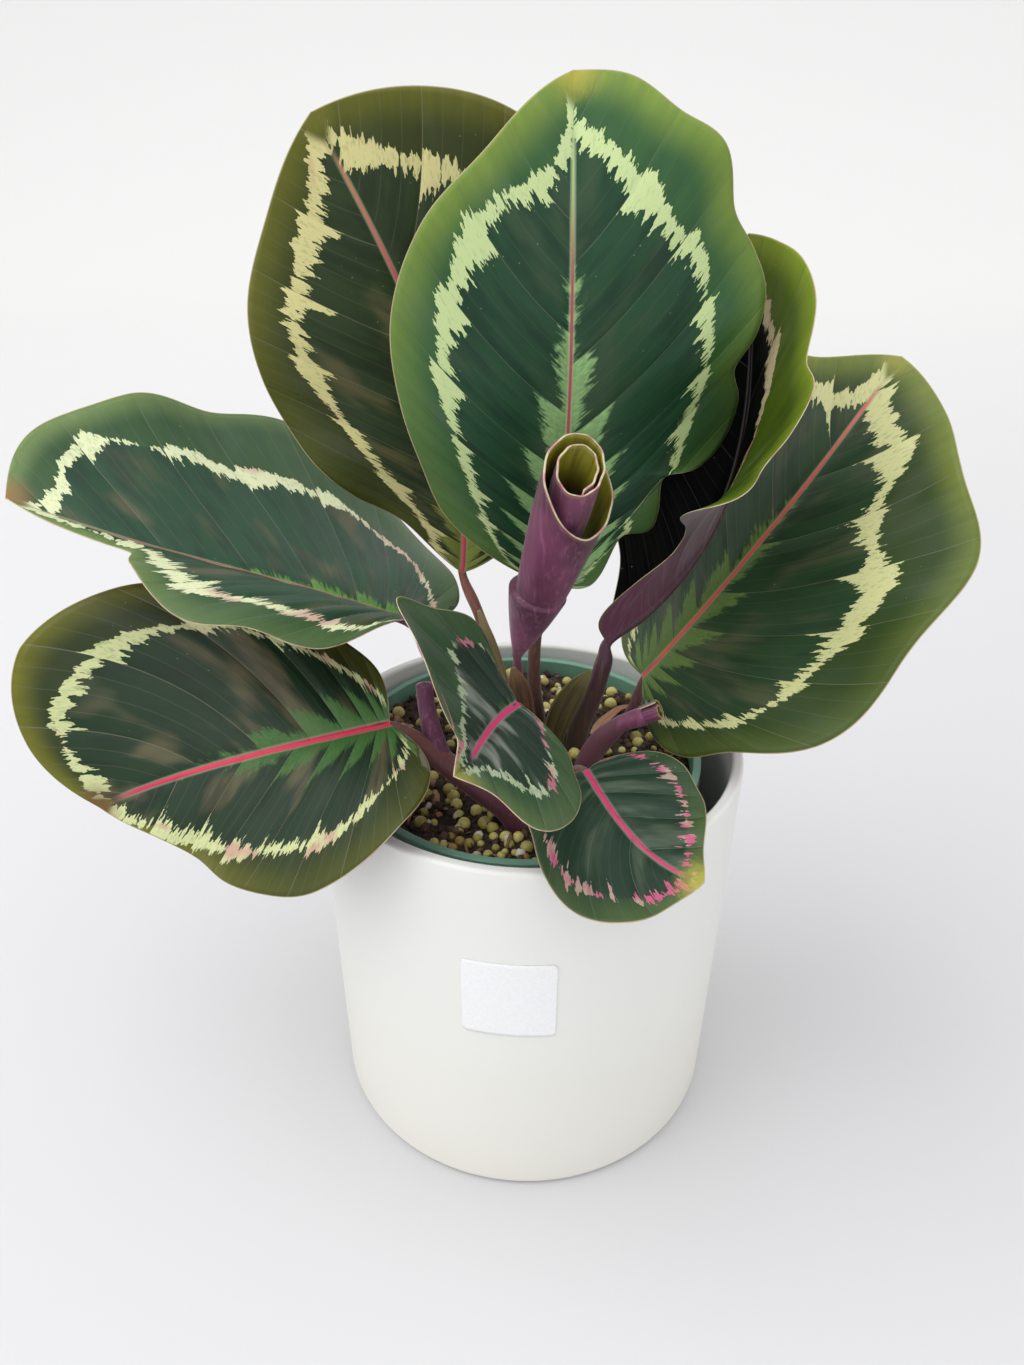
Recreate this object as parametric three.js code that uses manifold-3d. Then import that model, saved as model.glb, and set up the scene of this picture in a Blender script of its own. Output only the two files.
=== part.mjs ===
// A potted calathea: eight open leaves, a rolled young leaf and a bud, growing from a nursery pot
// that stands inside a white cover pot. Millimetres, +Z up, +Y away from the front.
// The origin is the centre of the cover pot's underside.
import * as THREE from 'three';
import { mergeVertices } from 'three/addons/utils/BufferGeometryUtils.js';
import Module from 'manifold-3d';

const wasm = await Module();
wasm.setup();

// Driving dimensions
const gap = 0.3; // air between pieces that touch
const roundSegments = 44;

const coverPot = {
  height: 125, rimRadius: 63.5, baseRadius: 61.4, wall: 3.5, floor: 4,
  footRound: 3, lipRound: 1.2,
};
const nurseryPot = {
  height: 114, rimRadius: 54, baseRadius: 44, wall: 1.2, floor: 1.6,
  bandHeight: 9, bandStep: 1.2, drainHoles: 6, drainRadius: 4.5, drainRing: 30,
  tilt: 2.2, centreX: -2, centreY: 7.5,
};
const soil = { depthBelowRim: 4, rings: 8 };
const prills = { count: 66, smallest: 1.2, largest: 1.95, sunk: 0.3, seed: 20417 };
const label = { width: 26, height: 27, thickness: 0.6, bottom: 67, turn: -4, columns: 8 };
const blade = { thickness: 0.8, keel: 0.9, rows: 14, columns: 4, veinPower: 2.6, veinSweep: 0.35 };

// Each leaf: base and tip of the midrib, the way its upper side faces, how far the midrib arches
// towards that side and sways to the right, its twist, and per half (left, right of the midrib)
// fold angles and curl at base and tip, outline radii from the leaf's centre, read from the base
// round to the tip, and the waves of the margin as [height, count, phase].
// The stalk runs from the blade down into the soil as [x, y, z, radius].
const leaves = {
  leaf_centre: {
    base: [6, 4, 173], tip: [7, 10, 298], face: [0.24, -0.97, 0.04],
    arch: [-3, 17], sway: [5, -3], twist: 6,
    left: { fold: [12, 13], curl: [0, -12], radii: [52, 48, 44, 45, 49, 52, 55], wave: [1.2, 2.5, 0.1] },
    right: {
      fold: [2, 11], curl: [-16, -3], wave: [1.8, 3.5, 0.3],
      radii: [58, 48, 50, 39, 46, 50, 49, 44, 49, 53, 54, 55, 63, 64, 68],
    },
    stalk: [[1.5, 6, 158, 1.7], [1, 10, 139, 2], [2.5, 17.5, 121, 2.3], [3, 20, 108, 2.3]],
    stalkFace: [1, 0, 0], color: 0x2f4f3a,
  },
  leaf_back_left: {
    base: [-21, 21, 169], tip: [-57, 27, 289], face: [0.13, -0.99, 0.09],
    arch: [0, 0], sway: [17, 9], twist: 3,
    left: { fold: [6, 6], curl: [4, 4], radii: [45, 43, 42, 43, 47, 53, 58], wave: [1.5, 3, 0.2] },
    right: { fold: [6, 7], curl: [0, 0], radii: [49, 45, 43, 48, 59, 64, 66], wave: [1.5, 2.5, 0.6] },
    stalk: [[-16.5, 20, 157, 1.6], [-11, 18.5, 141, 2], [-6.5, 18, 121, 2.6], [-5.5, 18, 108, 2.6]],
    stalkFace: [1, 0, 0], color: 0x4a5a33,
  },
  leaf_left_upper: {
    base: [-33, -9, 168], tip: [-139, -6, 200], face: [0.28, -0.23, 0.93],
    arch: [-2, -1], sway: [5, -4], twist: 28,
    left: { fold: [24, 43], curl: [-40, -40], radii: [51, 49, 39, 37, 32, 29, 28], wave: [1.2, 3, 0] },
    right: { fold: [-4, -2], curl: [0, 1], radii: [64, 69, 80, 85, 71, 72, 72], wave: [1.8, 4, 0.4] },
    stalk: [[-27, -7.5, 158, 1.7], [-18, -2, 140, 2], [-11, 5, 121, 2.2], [-10, 7, 108, 2.2]],
    stalkFace: [0, -1, 0.3], color: 0x35523a,
  },
  leaf_left_lower: {
    base: [-38, -26, 145], tip: [-121, -30, 118], face: [-0.2, -0.66, 0.72],
    arch: [5, 3], sway: [0, 3], twist: 27,
    left: { fold: [13, -11], curl: [-10, -12], radii: [53, 52, 45, 38, 34, 32, 36], wave: [1.5, 3, 0.5] },
    right: { fold: [7, 13], curl: [0, 0], radii: [43, 42, 43, 48, 61, 68, 63], wave: [1.2, 2.5, 0.2] },
    stalk: [
      [-31, -26, 140, 2], [-24, -26, 133.5, 3.3], [-14, -28.5, 126, 3.3], [-6, -30, 119, 3], [1, -32, 108, 2.8],
    ],
    stalkFace: [0, -1, 0.3], color: 0x42512c,
  },
  leaf_right: {
    base: [34, 14, 139], tip: [101, 33, 231], face: [-0.67, -0.46, 0.59],
    arch: [3, 0], sway: [6, 3], twist: -10,
    left: { fold: [-6, 0], curl: [0, 0], radii: [58, 47, 49, 53, 58, 65, 58], wave: [1.2, 3, 0.5] },
    right: { fold: [1, 3], curl: [0, 0], radii: [64, 62, 67, 62, 63, 57, 58], wave: [1.8, 4, 0.1] },
    stalk: [[33, 14, 131, 1.5], [30, 15, 121, 1.7], [28, 16, 108, 1.7]],
    stalkFace: [0, -1, 0], color: 0x3a5535,
  },
  leaf_folded: {
    base: [22, 11, 152], tip: [55, 33, 262], face: [-0.44, -0.85, 0.3],
    arch: [-21, -16], sway: [26, 14], twist: 0,
    left: { fold: [16, 8], curl: [0, 0], radii: [41, 39, 39, 39, 40, 42, 45], wave: [1.5, 3, 0] },
    right: {
      fold: [109, 34], curl: [0, 0], wave: [0, 3, 0],
      radii: [53, 43, 33, 31, 33, 41, 61, 76, 55, 56, 58, 53, 60, 63, 63],
    },
    stalk: [[22, 11.5, 146, 2.1], [19.5, 12, 134, 3], [15.5, 12.5, 121, 3.3], [14, 12.5, 108, 3.3]],
    stalkFace: [1, 0, 0], color: 0x2a3a2a,
  },
  leaf_front_small: {
    base: [-3, -36, 158], tip: [-16, -82, 167], face: [0.66, -0.03, 0.75],
    arch: [-4, -2], sway: [3, -2], twist: 6,
    left: { fold: [19, 22], curl: [-14, -37], radii: [23, 26, 25, 27, 29, 29, 24], wave: [0.8, 2, 0.2] },
    right: { fold: [10, 26], curl: [8, -11], radii: [25, 33, 34, 39, 35, 28, 16], wave: [0.8, 2.5, 0.5] },
    stalk: [[-1, -31.5, 150, 1.5], [2.5, -23, 136, 1.8], [5, -13, 121, 2], [5.5, -10, 108, 2]],
    stalkFace: [1, 0, 0], color: 0x3e5a45,
  },
  leaf_front_right: {
    base: [15, -36, 138], tip: [42, -72, 131], face: [-0.14, -0.28, 0.95],
    arch: [2, -3], sway: [4, 7], twist: 2,
    left: { fold: [4, 4], curl: [-5, -5], radii: [23, 25, 24, 22, 22, 22, 22], wave: [0.8, 2.5, 0.3] },
    right: { fold: [1, 1], curl: [-2, -2], radii: [23, 26, 23, 24, 26, 25, 23], wave: [0.8, 3, 0.1] },
    stalk: [[13.5, -33, 135.5, 1.5], [11, -27, 129, 1.6], [10, -21.5, 119, 1.7], [9.5, -20, 108, 1.7]],
    stalkFace: [1, 0, 0], color: 0x35503f,
  },
};
const leafCentre = 0.46; // share of the blade's length from base to the centre of its outline

// A short cut stalk that grows from the lower left leaf's shoot
const cutStalk = [[-29, -20, 154, 2.3], [-28, -21.5, 146, 2.5], [-25.5, -24.5, 137, 2.9], [-23, -26, 133, 2.4]];

// Young leaves still rolled up: a cone that opens into a scroll
const rolledLeaves = {
  leaf_rolled: {
    bottom: [-4, -8, 157], top: [9.5, -22, 212], innerRadius: 4.6, outerRadius: 11.2, turns: 2.35,
    start: -60, solidShare: 0.4, rootShare: 0.1, bellPower: 2.2, slant: 0.75,
    dip: 10, dipTurns: 0.6, thickness: 0.8, rows: 5, stepsPerTurn: 13,
    stalk: [[-3.6, -5.5, 149, 1.5], [-2, -0.5, 138, 2], [0, 6.5, 121, 2.2], [0, 8, 108, 2.2]],
    stalkFace: [1, 0, 0], color: 0x6f4561,
  },
  leaf_bud: {
    bottom: [26.5, -6.5, 134.5], top: [37, -9, 140.5], innerRadius: 1.3, outerRadius: 3, turns: 1.4,
    start: 40, solidShare: 0.6, rootShare: 0.8, bellPower: 1.5, slant: 0,
    dip: 0, dipTurns: 0.5, thickness: 0.6, rows: 3, stepsPerTurn: 10,
    stalk: [[22, -4.2, 128, 3.4], [17.5, -3, 119, 3.3], [15.5, -3, 108, 3]],
    stalkFace: [0, 0, 1], color: 0x6a3b60,
  },
};

// Flat pointed bracts that wrap the shoots: [x, y, z, half width, half thickness]
const bracts = {
  bract_boat: {
    path: [
      [17.8, 8, 143.7, 0.6, 0.5], [14.2, 8, 138.5, 3, 1], [10, 8, 130, 4, 1.4],
      [7.2, 8, 119, 3.2, 1.4], [6.5, 8, 108, 3, 1.2],
    ],
    face: [0, -1, 0.3], color: 0x66663a,
  },
  bract_short: {
    path: [
      [-5, -11.5, 155, 0.7, 0.5], [-3.6, -10, 149, 3, 0.9], [-2, -5.5, 137, 3.4, 1],
      [0, 1, 121, 2.8, 1], [0, 2.5, 108, 2.6, 1],
    ],
    face: [0, -1, 0.3], color: 0x6b5a3c,
  },
  bract_papery: {
    path: [
      [-16, 16.6, 159, 0.6, 0.5], [-13, 15, 150, 2, 0.7], [-9, 13.4, 136, 2.4, 0.9],
      [-5, 12.8, 121, 2.2, 0.9], [-4.5, 12.8, 108, 2, 0.9],
    ],
    face: [0, -1, 0.3], color: 0x8c8455,
  },
  dry_strip: {
    path: [
      [20, 14.5, 117, 1.2, 0.4], [22.5, 20, 117.4, 1.7, 0.4], [26, 26, 117.3, 1.6, 0.4],
      [30, 30, 118, 1.2, 0.4], [35, 31.5, 117.6, 1.4, 0.4],
    ],
    face: [0, 0, 1], color: 0x9a6f49,
  },
};

const radians = THREE.MathUtils.degToRad;
const vec = (list) => new THREE.Vector3(list[0], list[1], list[2]);

// Random numbers from a seed, the same on each run
function seededRandom(seed) {
  let state = seed;
  return () => {
    state = (state * 1664525 + 1013904223) % 4294967296;
    return state / 4294967296;
  };
}

// Points and triangles as a geometry
function geometryOf(points, triangles) {
  const geometry = new THREE.BufferGeometry();
  const flat = points.flatMap((point) => [point.x, point.y, point.z]);
  geometry.setAttribute('position', new THREE.Float32BufferAttribute(flat, 3));
  geometry.setIndex(triangles.flat());
  return geometry;
}

function toSolid(geometry) {
  const plain = geometry.clone();
  plain.deleteAttribute('normal');
  plain.deleteAttribute('uv');
  const merged = mergeVertices(plain, 1e-4);
  return new wasm.Manifold(new wasm.Mesh({
    numProp: 3,
    vertProperties: new Float32Array(merged.attributes.position.array),
    triVerts: new Uint32Array(merged.index.array),
  }));
}

function toGeometry(solid) {
  const mesh = solid.getMesh();
  const geometry = new THREE.BufferGeometry();
  geometry.setAttribute('position', new THREE.BufferAttribute(new Float32Array(mesh.vertProperties), 3));
  geometry.setIndex(new THREE.BufferAttribute(new Uint32Array(mesh.triVerts), 1));
  return geometry;
}

// A smooth curve through equally spaced values, read at u from 0 to 1
function smoothRead(values, u) {
  const last = values.length - 1;
  const place = THREE.MathUtils.clamp(u, 0, 1) * last;
  const i = Math.min(Math.floor(place), last - 1);
  const f = place - i;
  const p1 = values[i];
  const p2 = values[i + 1];
  const p0 = i > 0 ? values[i - 1] : 2 * p1 - p2;
  const p3 = i < last - 1 ? values[i + 2] : 2 * p2 - p1;
  return 0.5 * (2 * p1 + (p2 - p0) * f + (2 * p0 - 5 * p1 + 4 * p2 - p3) * f * f
    + (3 * p1 - p0 - 3 * p2 + p3) * f * f * f);
}

// A closed solid from a sheet of triangles: both faces lie half the thickness off the sheet,
// along each point's own normal, and a narrow wall joins them round the rim.
function thicken(points, triangles, rim, thickness, extraBelow) {
  const normals = points.map(() => new THREE.Vector3());
  for (const [a, b, c] of triangles) {
    const edge = points[b].clone().sub(points[a]);
    const normal = edge.cross(points[c].clone().sub(points[a]));
    [a, b, c].forEach((i) => normals[i].add(normal));
  }
  normals.forEach((normal) => normal.normalize());
  const count = points.length;
  const upper = points.map((point, i) => point.clone().addScaledVector(normals[i], thickness / 2));
  const lower = points.map((point, i) => (
    point.clone().addScaledVector(normals[i], -thickness / 2 - (extraBelow ? extraBelow[i] : 0))
  ));
  const faces = triangles.concat(triangles.map(([a, b, c]) => [a + count, c + count, b + count]));
  rim.forEach((a, i) => {
    const b = rim[(i + 1) % rim.length];
    faces.push([b, a, a + count], [b, a + count, b + count]);
  });
  return geometryOf(upper.concat(lower), faces);
}

// A closed tube along a smooth curve through stations [x, y, z, half width, half thickness].
// Grow makes it wider and longer all round, for the hole that it stands in.
function sweepSolid(stations, face, sides, steps, grow = 0) {
  const curve = new THREE.CatmullRomCurve3(stations.map(vec), false, 'centripetal');
  const widths = stations.map((station) => station[3]);
  const depths = stations.map((station) => station[4] ?? station[3]);
  const points = [];
  for (let i = 0; i <= steps; i++) {
    const t = i / steps;
    const along = curve.getTangent(t);
    const side = along.clone().cross(vec(face)).normalize();
    const up = side.clone().cross(along);
    const beyond = grow * (Number(i === steps) - Number(i === 0));
    const centre = curve.getPoint(t).addScaledVector(along, beyond);
    for (let k = 0; k < sides; k++) {
      const angle = (2 * Math.PI * k) / sides;
      points.push(centre.clone()
        .addScaledVector(side, (smoothRead(widths, t) + grow) * Math.cos(angle))
        .addScaledVector(up, (smoothRead(depths, t) + grow) * Math.sin(angle)));
    }
  }
  const triangles = [];
  for (let i = 0; i < steps; i++) {
    for (let k = 0; k < sides; k++) {
      const a = i * sides + k;
      const b = i * sides + ((k + 1) % sides);
      triangles.push([a, a + sides, b], [b, a + sides, b + sides]);
    }
  }
  const last = steps * sides;
  for (let k = 1; k < sides - 1; k++) {
    triangles.push([0, k, k + 1], [last, last + k + 1, last + k]);
  }
  return toSolid(geometryOf(points, triangles));
}

// The midrib's cubic curve with its direction, the side to its right and the upper side, at t
function midribAt(leaf, t) {
  const base = vec(leaf.base);
  const tip = vec(leaf.tip);
  const chord = tip.clone().sub(base);
  const length = chord.length();
  const side0 = chord.clone().cross(vec(leaf.face)).normalize();
  const up0 = side0.clone().cross(chord).normalize();
  const control = (share, i) => base.clone().addScaledVector(chord, share)
    .addScaledVector(up0, leaf.arch[i]).addScaledVector(side0, leaf.sway[i]);
  const curve = new THREE.CubicBezierCurve3(base, control(1 / 3, 0), control(2 / 3, 1), tip);
  const along = curve.getTangent(t);
  const turn = radians(leaf.twist) * (t - 0.5);
  const side = side0.clone().multiplyScalar(Math.cos(turn)).addScaledVector(up0, Math.sin(turn));
  side.addScaledVector(along, -side.dot(along)).normalize();
  const up = side.clone().cross(along);
  return { point: curve.getPoint(t), along, side, up, length };
}

// A point of the blade: across is the distance from the midrib, right positive, and reach is
// the distance from the base along the midrib. Each half leaves the midrib at its fold angle
// and bends on as a circular arc.
function bladePoint(leaf, across, reach, lift) {
  const length = vec(leaf.tip).distanceTo(vec(leaf.base));
  const t = THREE.MathUtils.clamp(reach / length, 0, 1);
  const frame = midribAt(leaf, t);
  const half = across < 0 ? leaf.left : leaf.right;
  const fold = radians(THREE.MathUtils.lerp(half.fold[0], half.fold[1], t));
  const curlOver40 = radians(THREE.MathUtils.lerp(half.curl[0], half.curl[1], t));
  const rate = Math.abs(curlOver40) < 1e-5 ? 1e-6 : curlOver40 / 40;
  const out = Math.abs(across);
  const sideways = (Math.sin(fold + rate * out) - Math.sin(fold)) / rate;
  const rise = (Math.cos(fold) - Math.cos(fold + rate * out)) / rate;
  return frame.point.addScaledVector(frame.along, reach - t * length)
    .addScaledVector(frame.side, Math.sign(across) * sideways)
    .addScaledVector(frame.up, rise + lift);
}

// A point on the vein that starts from the midrib at share u of the outline: v is 0 at the
// midrib and 1 at the margin
function veinPoint(leaf, hand, u, v) {
  const length = vec(leaf.tip).distanceTo(vec(leaf.base));
  const half = hand < 0 ? leaf.left : leaf.right;
  const radii = [leafCentre * length, ...half.radii, (1 - leafCentre) * length];
  const radius = smoothRead(radii, u);
  const marginAcross = radius * Math.sin(Math.PI * u);
  const marginReach = leafCentre * length - radius * Math.cos(Math.PI * u);
  const start = length * u ** blade.veinPower;
  const bend = start + (marginReach - start) * blade.veinSweep;
  const across = v * (1 - v) * marginAcross + v * v * marginAcross;
  const reach = (1 - v) ** 2 * start + 2 * v * (1 - v) * bend + v * v * marginReach;
  const [height, count, phase] = half.wave;
  const fade = Math.min(1, 6 * u * (1 - u));
  const lift = height * v ** 2.5 * fade * Math.sin(2 * Math.PI * (count * u + phase));
  return bladePoint(leaf, hand * across, reach, lift);
}

// The blade's sheet: one row for each pair of veins, with single points at base and tip
function bladeSolid(leaf) {
  const { rows, columns } = blade;
  const wide = 2 * columns + 1;
  const points = [];
  const keel = [];
  for (let i = 1; i < rows; i++) {
    const u = i / rows;
    for (let k = -columns; k <= columns; k++) {
      points.push(veinPoint(leaf, k < 0 ? -1 : 1, u, Math.abs(k) / columns));
      keel.push(k === 0 ? blade.keel * (1 - u) : 0);
    }
  }
  const base = points.push(vec(leaf.base)) - 1;
  const tip = points.push(vec(leaf.tip)) - 1;
  keel.push(blade.keel, 0);
  const triangles = [];
  const at = (i, k) => i * wide + k;
  for (let k = 0; k < wide - 1; k++) {
    triangles.push([base, at(0, k + 1), at(0, k)]);
    triangles.push([tip, at(rows - 2, k), at(rows - 2, k + 1)]);
    for (let i = 0; i < rows - 2; i++) {
      triangles.push([at(i, k), at(i, k + 1), at(i + 1, k + 1)]);
      triangles.push([at(i, k), at(i + 1, k + 1), at(i + 1, k)]);
    }
  }
  const rightRim = Array.from({ length: rows - 1 }, (_, i) => at(i, wide - 1));
  const leftRim = Array.from({ length: rows - 1 }, (_, i) => at(rows - 2 - i, 0));
  const rim = [base, ...rightRim, tip, ...leftRim];
  return toSolid(thicken(points, triangles, rim, blade.thickness, keel));
}

// The stalk starts under the blade, a little way along the midrib, and ends in the soil
function leafStalk(leaf, grow = 0) {
  const start = midribAt(leaf, 0.07);
  const root = start.point.addScaledVector(start.up, -0.9);
  const neck = vec(leaf.base).addScaledVector(midribAt(leaf, 0).up, -0.5);
  const stations = [
    [...root.toArray(), 0.7],
    [...neck.toArray(), leaf.stalk[0][3] * 0.8],
    ...leaf.stalk,
  ];
  return sweepSolid(stations, leaf.stalkFace, 8, 9, grow);
}

// A rolled blade: a sheet wound as a spiral, whose rim slants towards the front and dips on
// the outermost part, over a solid cone
function scrollSolid(roll) {
  const bottom = vec(roll.bottom);
  const axis = vec(roll.top).sub(bottom);
  const length = axis.length();
  const along = axis.clone().normalize();
  const right = along.clone().cross(new THREE.Vector3(0, 1, 0)).normalize().negate();
  const back = right.clone().cross(along).normalize().negate();
  const bell = (t) => 1 - (1 - roll.rootShare) * (1 - t) ** roll.bellPower;
  const steps = Math.round(roll.turns * roll.stepsPerTurn);
  const points = [];
  for (let i = 0; i <= steps; i++) {
    const share = i / steps;
    const angle = radians(roll.start) + 2 * Math.PI * roll.turns * share;
    const spiral = THREE.MathUtils.lerp(roll.innerRadius, roll.outerRadius, share);
    const dipStart = 1 - roll.dipTurns / roll.turns;
    const dipShare = THREE.MathUtils.smoothstep(share, dipStart, 0.4 * dipStart + 0.6);
    const rimHeight = length + roll.slant * spiral * Math.sin(angle) - roll.dip * dipShare;
    const foot = roll.solidShare * 0.8 * length;
    for (let k = 0; k <= roll.rows; k++) {
      const height = THREE.MathUtils.lerp(foot, rimHeight, k / roll.rows);
      const radius = spiral * bell(Math.min(1, height / length));
      points.push(bottom.clone().addScaledVector(along, height)
        .addScaledVector(right, radius * Math.cos(angle)).addScaledVector(back, radius * Math.sin(angle)));
    }
  }
  const wide = roll.rows + 1;
  const triangles = [];
  for (let i = 0; i < steps; i++) {
    for (let k = 0; k < roll.rows; k++) {
      const a = i * wide + k;
      triangles.push([a, a + 1, a + wide + 1], [a, a + wide + 1, a + wide]);
    }
  }
  const rim = [];
  for (let k = 0; k < roll.rows; k++) rim.push(k);
  for (let i = 0; i < steps; i++) rim.push(i * wide + roll.rows);
  for (let k = roll.rows; k > 0; k--) rim.push(steps * wide + k);
  for (let i = steps; i > 0; i--) rim.push(i * wide);
  const sheet = toSolid(thicken(points, triangles, rim, roll.thickness));
  const coneSteps = 6;
  const cone = [];
  for (let i = coneSteps; i >= 0; i--) {
    const t = (roll.solidShare * i) / coneSteps;
    const centre = bottom.clone().addScaledVector(along, t * length);
    cone.push([...centre.toArray(), roll.outerRadius * bell(t)]);
  }
  return sheet.add(sweepSolid(cone, [0, -1, 0.2], 14, coneSteps));
}

function rolledStalk(roll, grow = 0) {
  const stations = [[...roll.bottom, roll.outerRadius * roll.rootShare], ...roll.stalk];
  const lift = vec(roll.top).sub(vec(roll.bottom)).normalize().multiplyScalar(2);
  const start = vec(roll.bottom).add(lift);
  return sweepSolid([[...start.toArray(), stations[0][3] * 0.9], ...stations], roll.stalkFace, 8, 10, grow);
}

// Pots: closed profiles turned round the axis
function latheGeometry(profile) {
  const points = profile.map(([radius, height]) => new THREE.Vector2(radius, height));
  return new THREE.LatheGeometry(points, roundSegments).rotateX(Math.PI / 2);
}

function coverPotSolid() {
  const { height, rimRadius, baseRadius, wall, floor, footRound, lipRound } = coverPot;
  const foot = [0, 30, 60, 90].map((a) => [
    baseRadius - footRound + footRound * Math.sin(radians(a)),
    footRound - footRound * Math.cos(radians(a)),
  ]);
  const lip = [0, 45, 90].map((a) => [
    rimRadius - lipRound + lipRound * Math.cos(radians(a)),
    height - lipRound + lipRound * Math.sin(radians(a)),
  ]);
  const innerLip = [90, 45, 0].map((a) => [
    rimRadius - wall + lipRound - lipRound * Math.cos(radians(a)),
    height - lipRound + lipRound * Math.sin(radians(a)),
  ]);
  const inside = [[baseRadius - wall, floor + footRound], [baseRadius - wall - footRound, floor], [0, floor]];
  return toSolid(latheGeometry([[0, 0], ...foot, ...lip, ...innerLip, ...inside]));
}

// Outer radius of the nursery pot's tapered wall, below its rim band, at a height
function nurseryRadius(height) {
  const top = nurseryPot.rimRadius - nurseryPot.bandStep;
  return THREE.MathUtils.lerp(nurseryPot.baseRadius, top, height / nurseryPot.height);
}

function nurseryPotSolid() {
  const { height, rimRadius, wall, floor, bandHeight, bandStep } = nurseryPot;
  const bandFoot = height - bandHeight;
  const profile = [
    [0, 0], [nurseryRadius(0), 0], [nurseryRadius(bandFoot), bandFoot],
    [nurseryRadius(bandFoot) + bandStep, bandFoot + 1], [rimRadius, height - 0.4], [rimRadius - 0.4, height],
    [rimRadius - bandStep - wall + 0.4, height], [nurseryRadius(height) - wall, height - 0.4],
    [nurseryRadius(floor) - wall, floor], [0, floor],
  ];
  let solid = toSolid(latheGeometry(profile));
  for (let i = 0; i < nurseryPot.drainHoles; i++) {
    const angle = (2 * Math.PI * i) / nurseryPot.drainHoles;
    const drill = new THREE.CylinderGeometry(nurseryPot.drainRadius, nurseryPot.drainRadius, 6 * floor, 16)
      .rotateX(Math.PI / 2)
      .translate(nurseryPot.drainRing * Math.cos(angle), nurseryPot.drainRing * Math.sin(angle), 0);
    solid = solid.subtract(toSolid(drill));
  }
  return solid;
}

// The nursery pot stands slightly askew: it leans on the front edge of its base
function nurseryMatrix() {
  const tilt = radians(nurseryPot.tilt);
  const lift = coverPot.floor + gap + nurseryPot.baseRadius * Math.sin(tilt);
  return new THREE.Matrix4().makeTranslation(nurseryPot.centreX, nurseryPot.centreY, lift)
    .multiply(new THREE.Matrix4().makeRotationX(tilt));
}

// Height of the soil in the nursery pot's own frame: low hills with smaller crumbs on them
function soilHeight(x, y) {
  const hills = 0.7 * Math.sin(0.19 * x + 1.3) * Math.cos(0.16 * y - 0.4)
    + 0.5 * Math.sin(0.41 * x - 0.33 * y);
  const crumbs = 0.35 * Math.sin(0.93 * x + 0.7 * y + 2) * Math.sin(0.81 * y - 0.55 * x);
  return nurseryPot.height - soil.depthBelowRim + hills + crumbs;
}

function soilBody() {
  const { rings } = soil;
  const sectors = roundSegments;
  const foot = nurseryPot.floor + gap;
  const footRadius = nurseryRadius(foot) - nurseryPot.wall - gap;
  const edgeHeight = nurseryPot.height - soil.depthBelowRim;
  const topRadius = nurseryRadius(edgeHeight - 2) - nurseryPot.wall - gap;
  const points = [new THREE.Vector3(0, 0, foot), new THREE.Vector3(0, 0, soilHeight(0, 0))];
  for (let i = 1; i <= rings; i++) {
    const radius = (topRadius * i) / rings;
    for (let k = 0; k < sectors; k++) {
      const angle = (2 * Math.PI * k) / sectors;
      const [x, y] = [radius * Math.cos(angle), radius * Math.sin(angle)];
      points.push(new THREE.Vector3(x, y, i === rings ? edgeHeight - 1.5 : soilHeight(x, y)));
    }
  }
  for (let k = 0; k < sectors; k++) {
    const angle = (2 * Math.PI * k) / sectors;
    points.push(new THREE.Vector3(footRadius * Math.cos(angle), footRadius * Math.sin(angle), foot));
  }
  const at = (i, k) => 2 + i * sectors + (k % sectors);
  const triangles = [];
  for (let k = 0; k < sectors; k++) {
    triangles.push([1, at(0, k), at(0, k + 1)], [0, at(rings, k + 1), at(rings, k)]);
    for (let i = 0; i < rings; i++) {
      triangles.push([at(i, k), at(i + 1, k), at(i + 1, k + 1)]);
      triangles.push([at(i, k), at(i + 1, k + 1), at(i, k + 1)]);
    }
  }
  return toSolid(geometryOf(points, triangles));
}

// Round fertiliser prills, scattered over the soil by a seeded rule and kept off the stems
function prillGeometries(stems) {
  const random = seededRandom(prills.seed);
  const spread = nurseryRadius(nurseryPot.height) - nurseryPot.wall - 4;
  const placed = [];
  const matrix = nurseryMatrix();
  while (placed.length < prills.count) {
    const radius = THREE.MathUtils.lerp(prills.smallest, prills.largest, random());
    const reach = spread * Math.sqrt(random());
    const angle = 2 * Math.PI * random();
    const [x, y] = [reach * Math.cos(angle), reach * Math.sin(angle)];
    const turn = Math.PI * random();
    const centre = new THREE.Vector3(x, y, soilHeight(x, y) + radius * (1 - 2 * prills.sunk));
    const world = centre.clone().applyMatrix4(matrix);
    const nearStem = stems.some((stem) => stem.distanceTo(world) < radius + stem.room);
    const nearPrill = placed.some((other) => other.centre.distanceTo(centre) < 1.02 * (other.radius + radius));
    if (nearStem || nearPrill) continue;
    placed.push({ centre, radius, turn });
  }
  return placed.map(({ centre, radius, turn }) => new THREE.IcosahedronGeometry(radius, 0)
    .rotateX(turn).rotateZ(2 * turn).translate(centre.x, centre.y, centre.z));
}

// Points along every stem near the soil, with the room each one needs
function stemPoints() {
  const found = [];
  const add = (stations) => {
    const curve = new THREE.CatmullRomCurve3(stations.map(vec), false, 'centripetal');
    const widest = Math.max(...stations.map((station) => station[3]));
    for (let i = 0; i <= 24; i++) {
      const point = curve.getPoint(i / 24);
      point.room = widest + 1.2;
      if (point.z < 132) found.push(point);
    }
  };
  Object.values(leaves).forEach((leaf) => add(leaf.stalk));
  Object.values(rolledLeaves).forEach((roll) => add(roll.stalk));
  Object.values(bracts).forEach((bract) => add(bract.path));
  return found;
}

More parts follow.
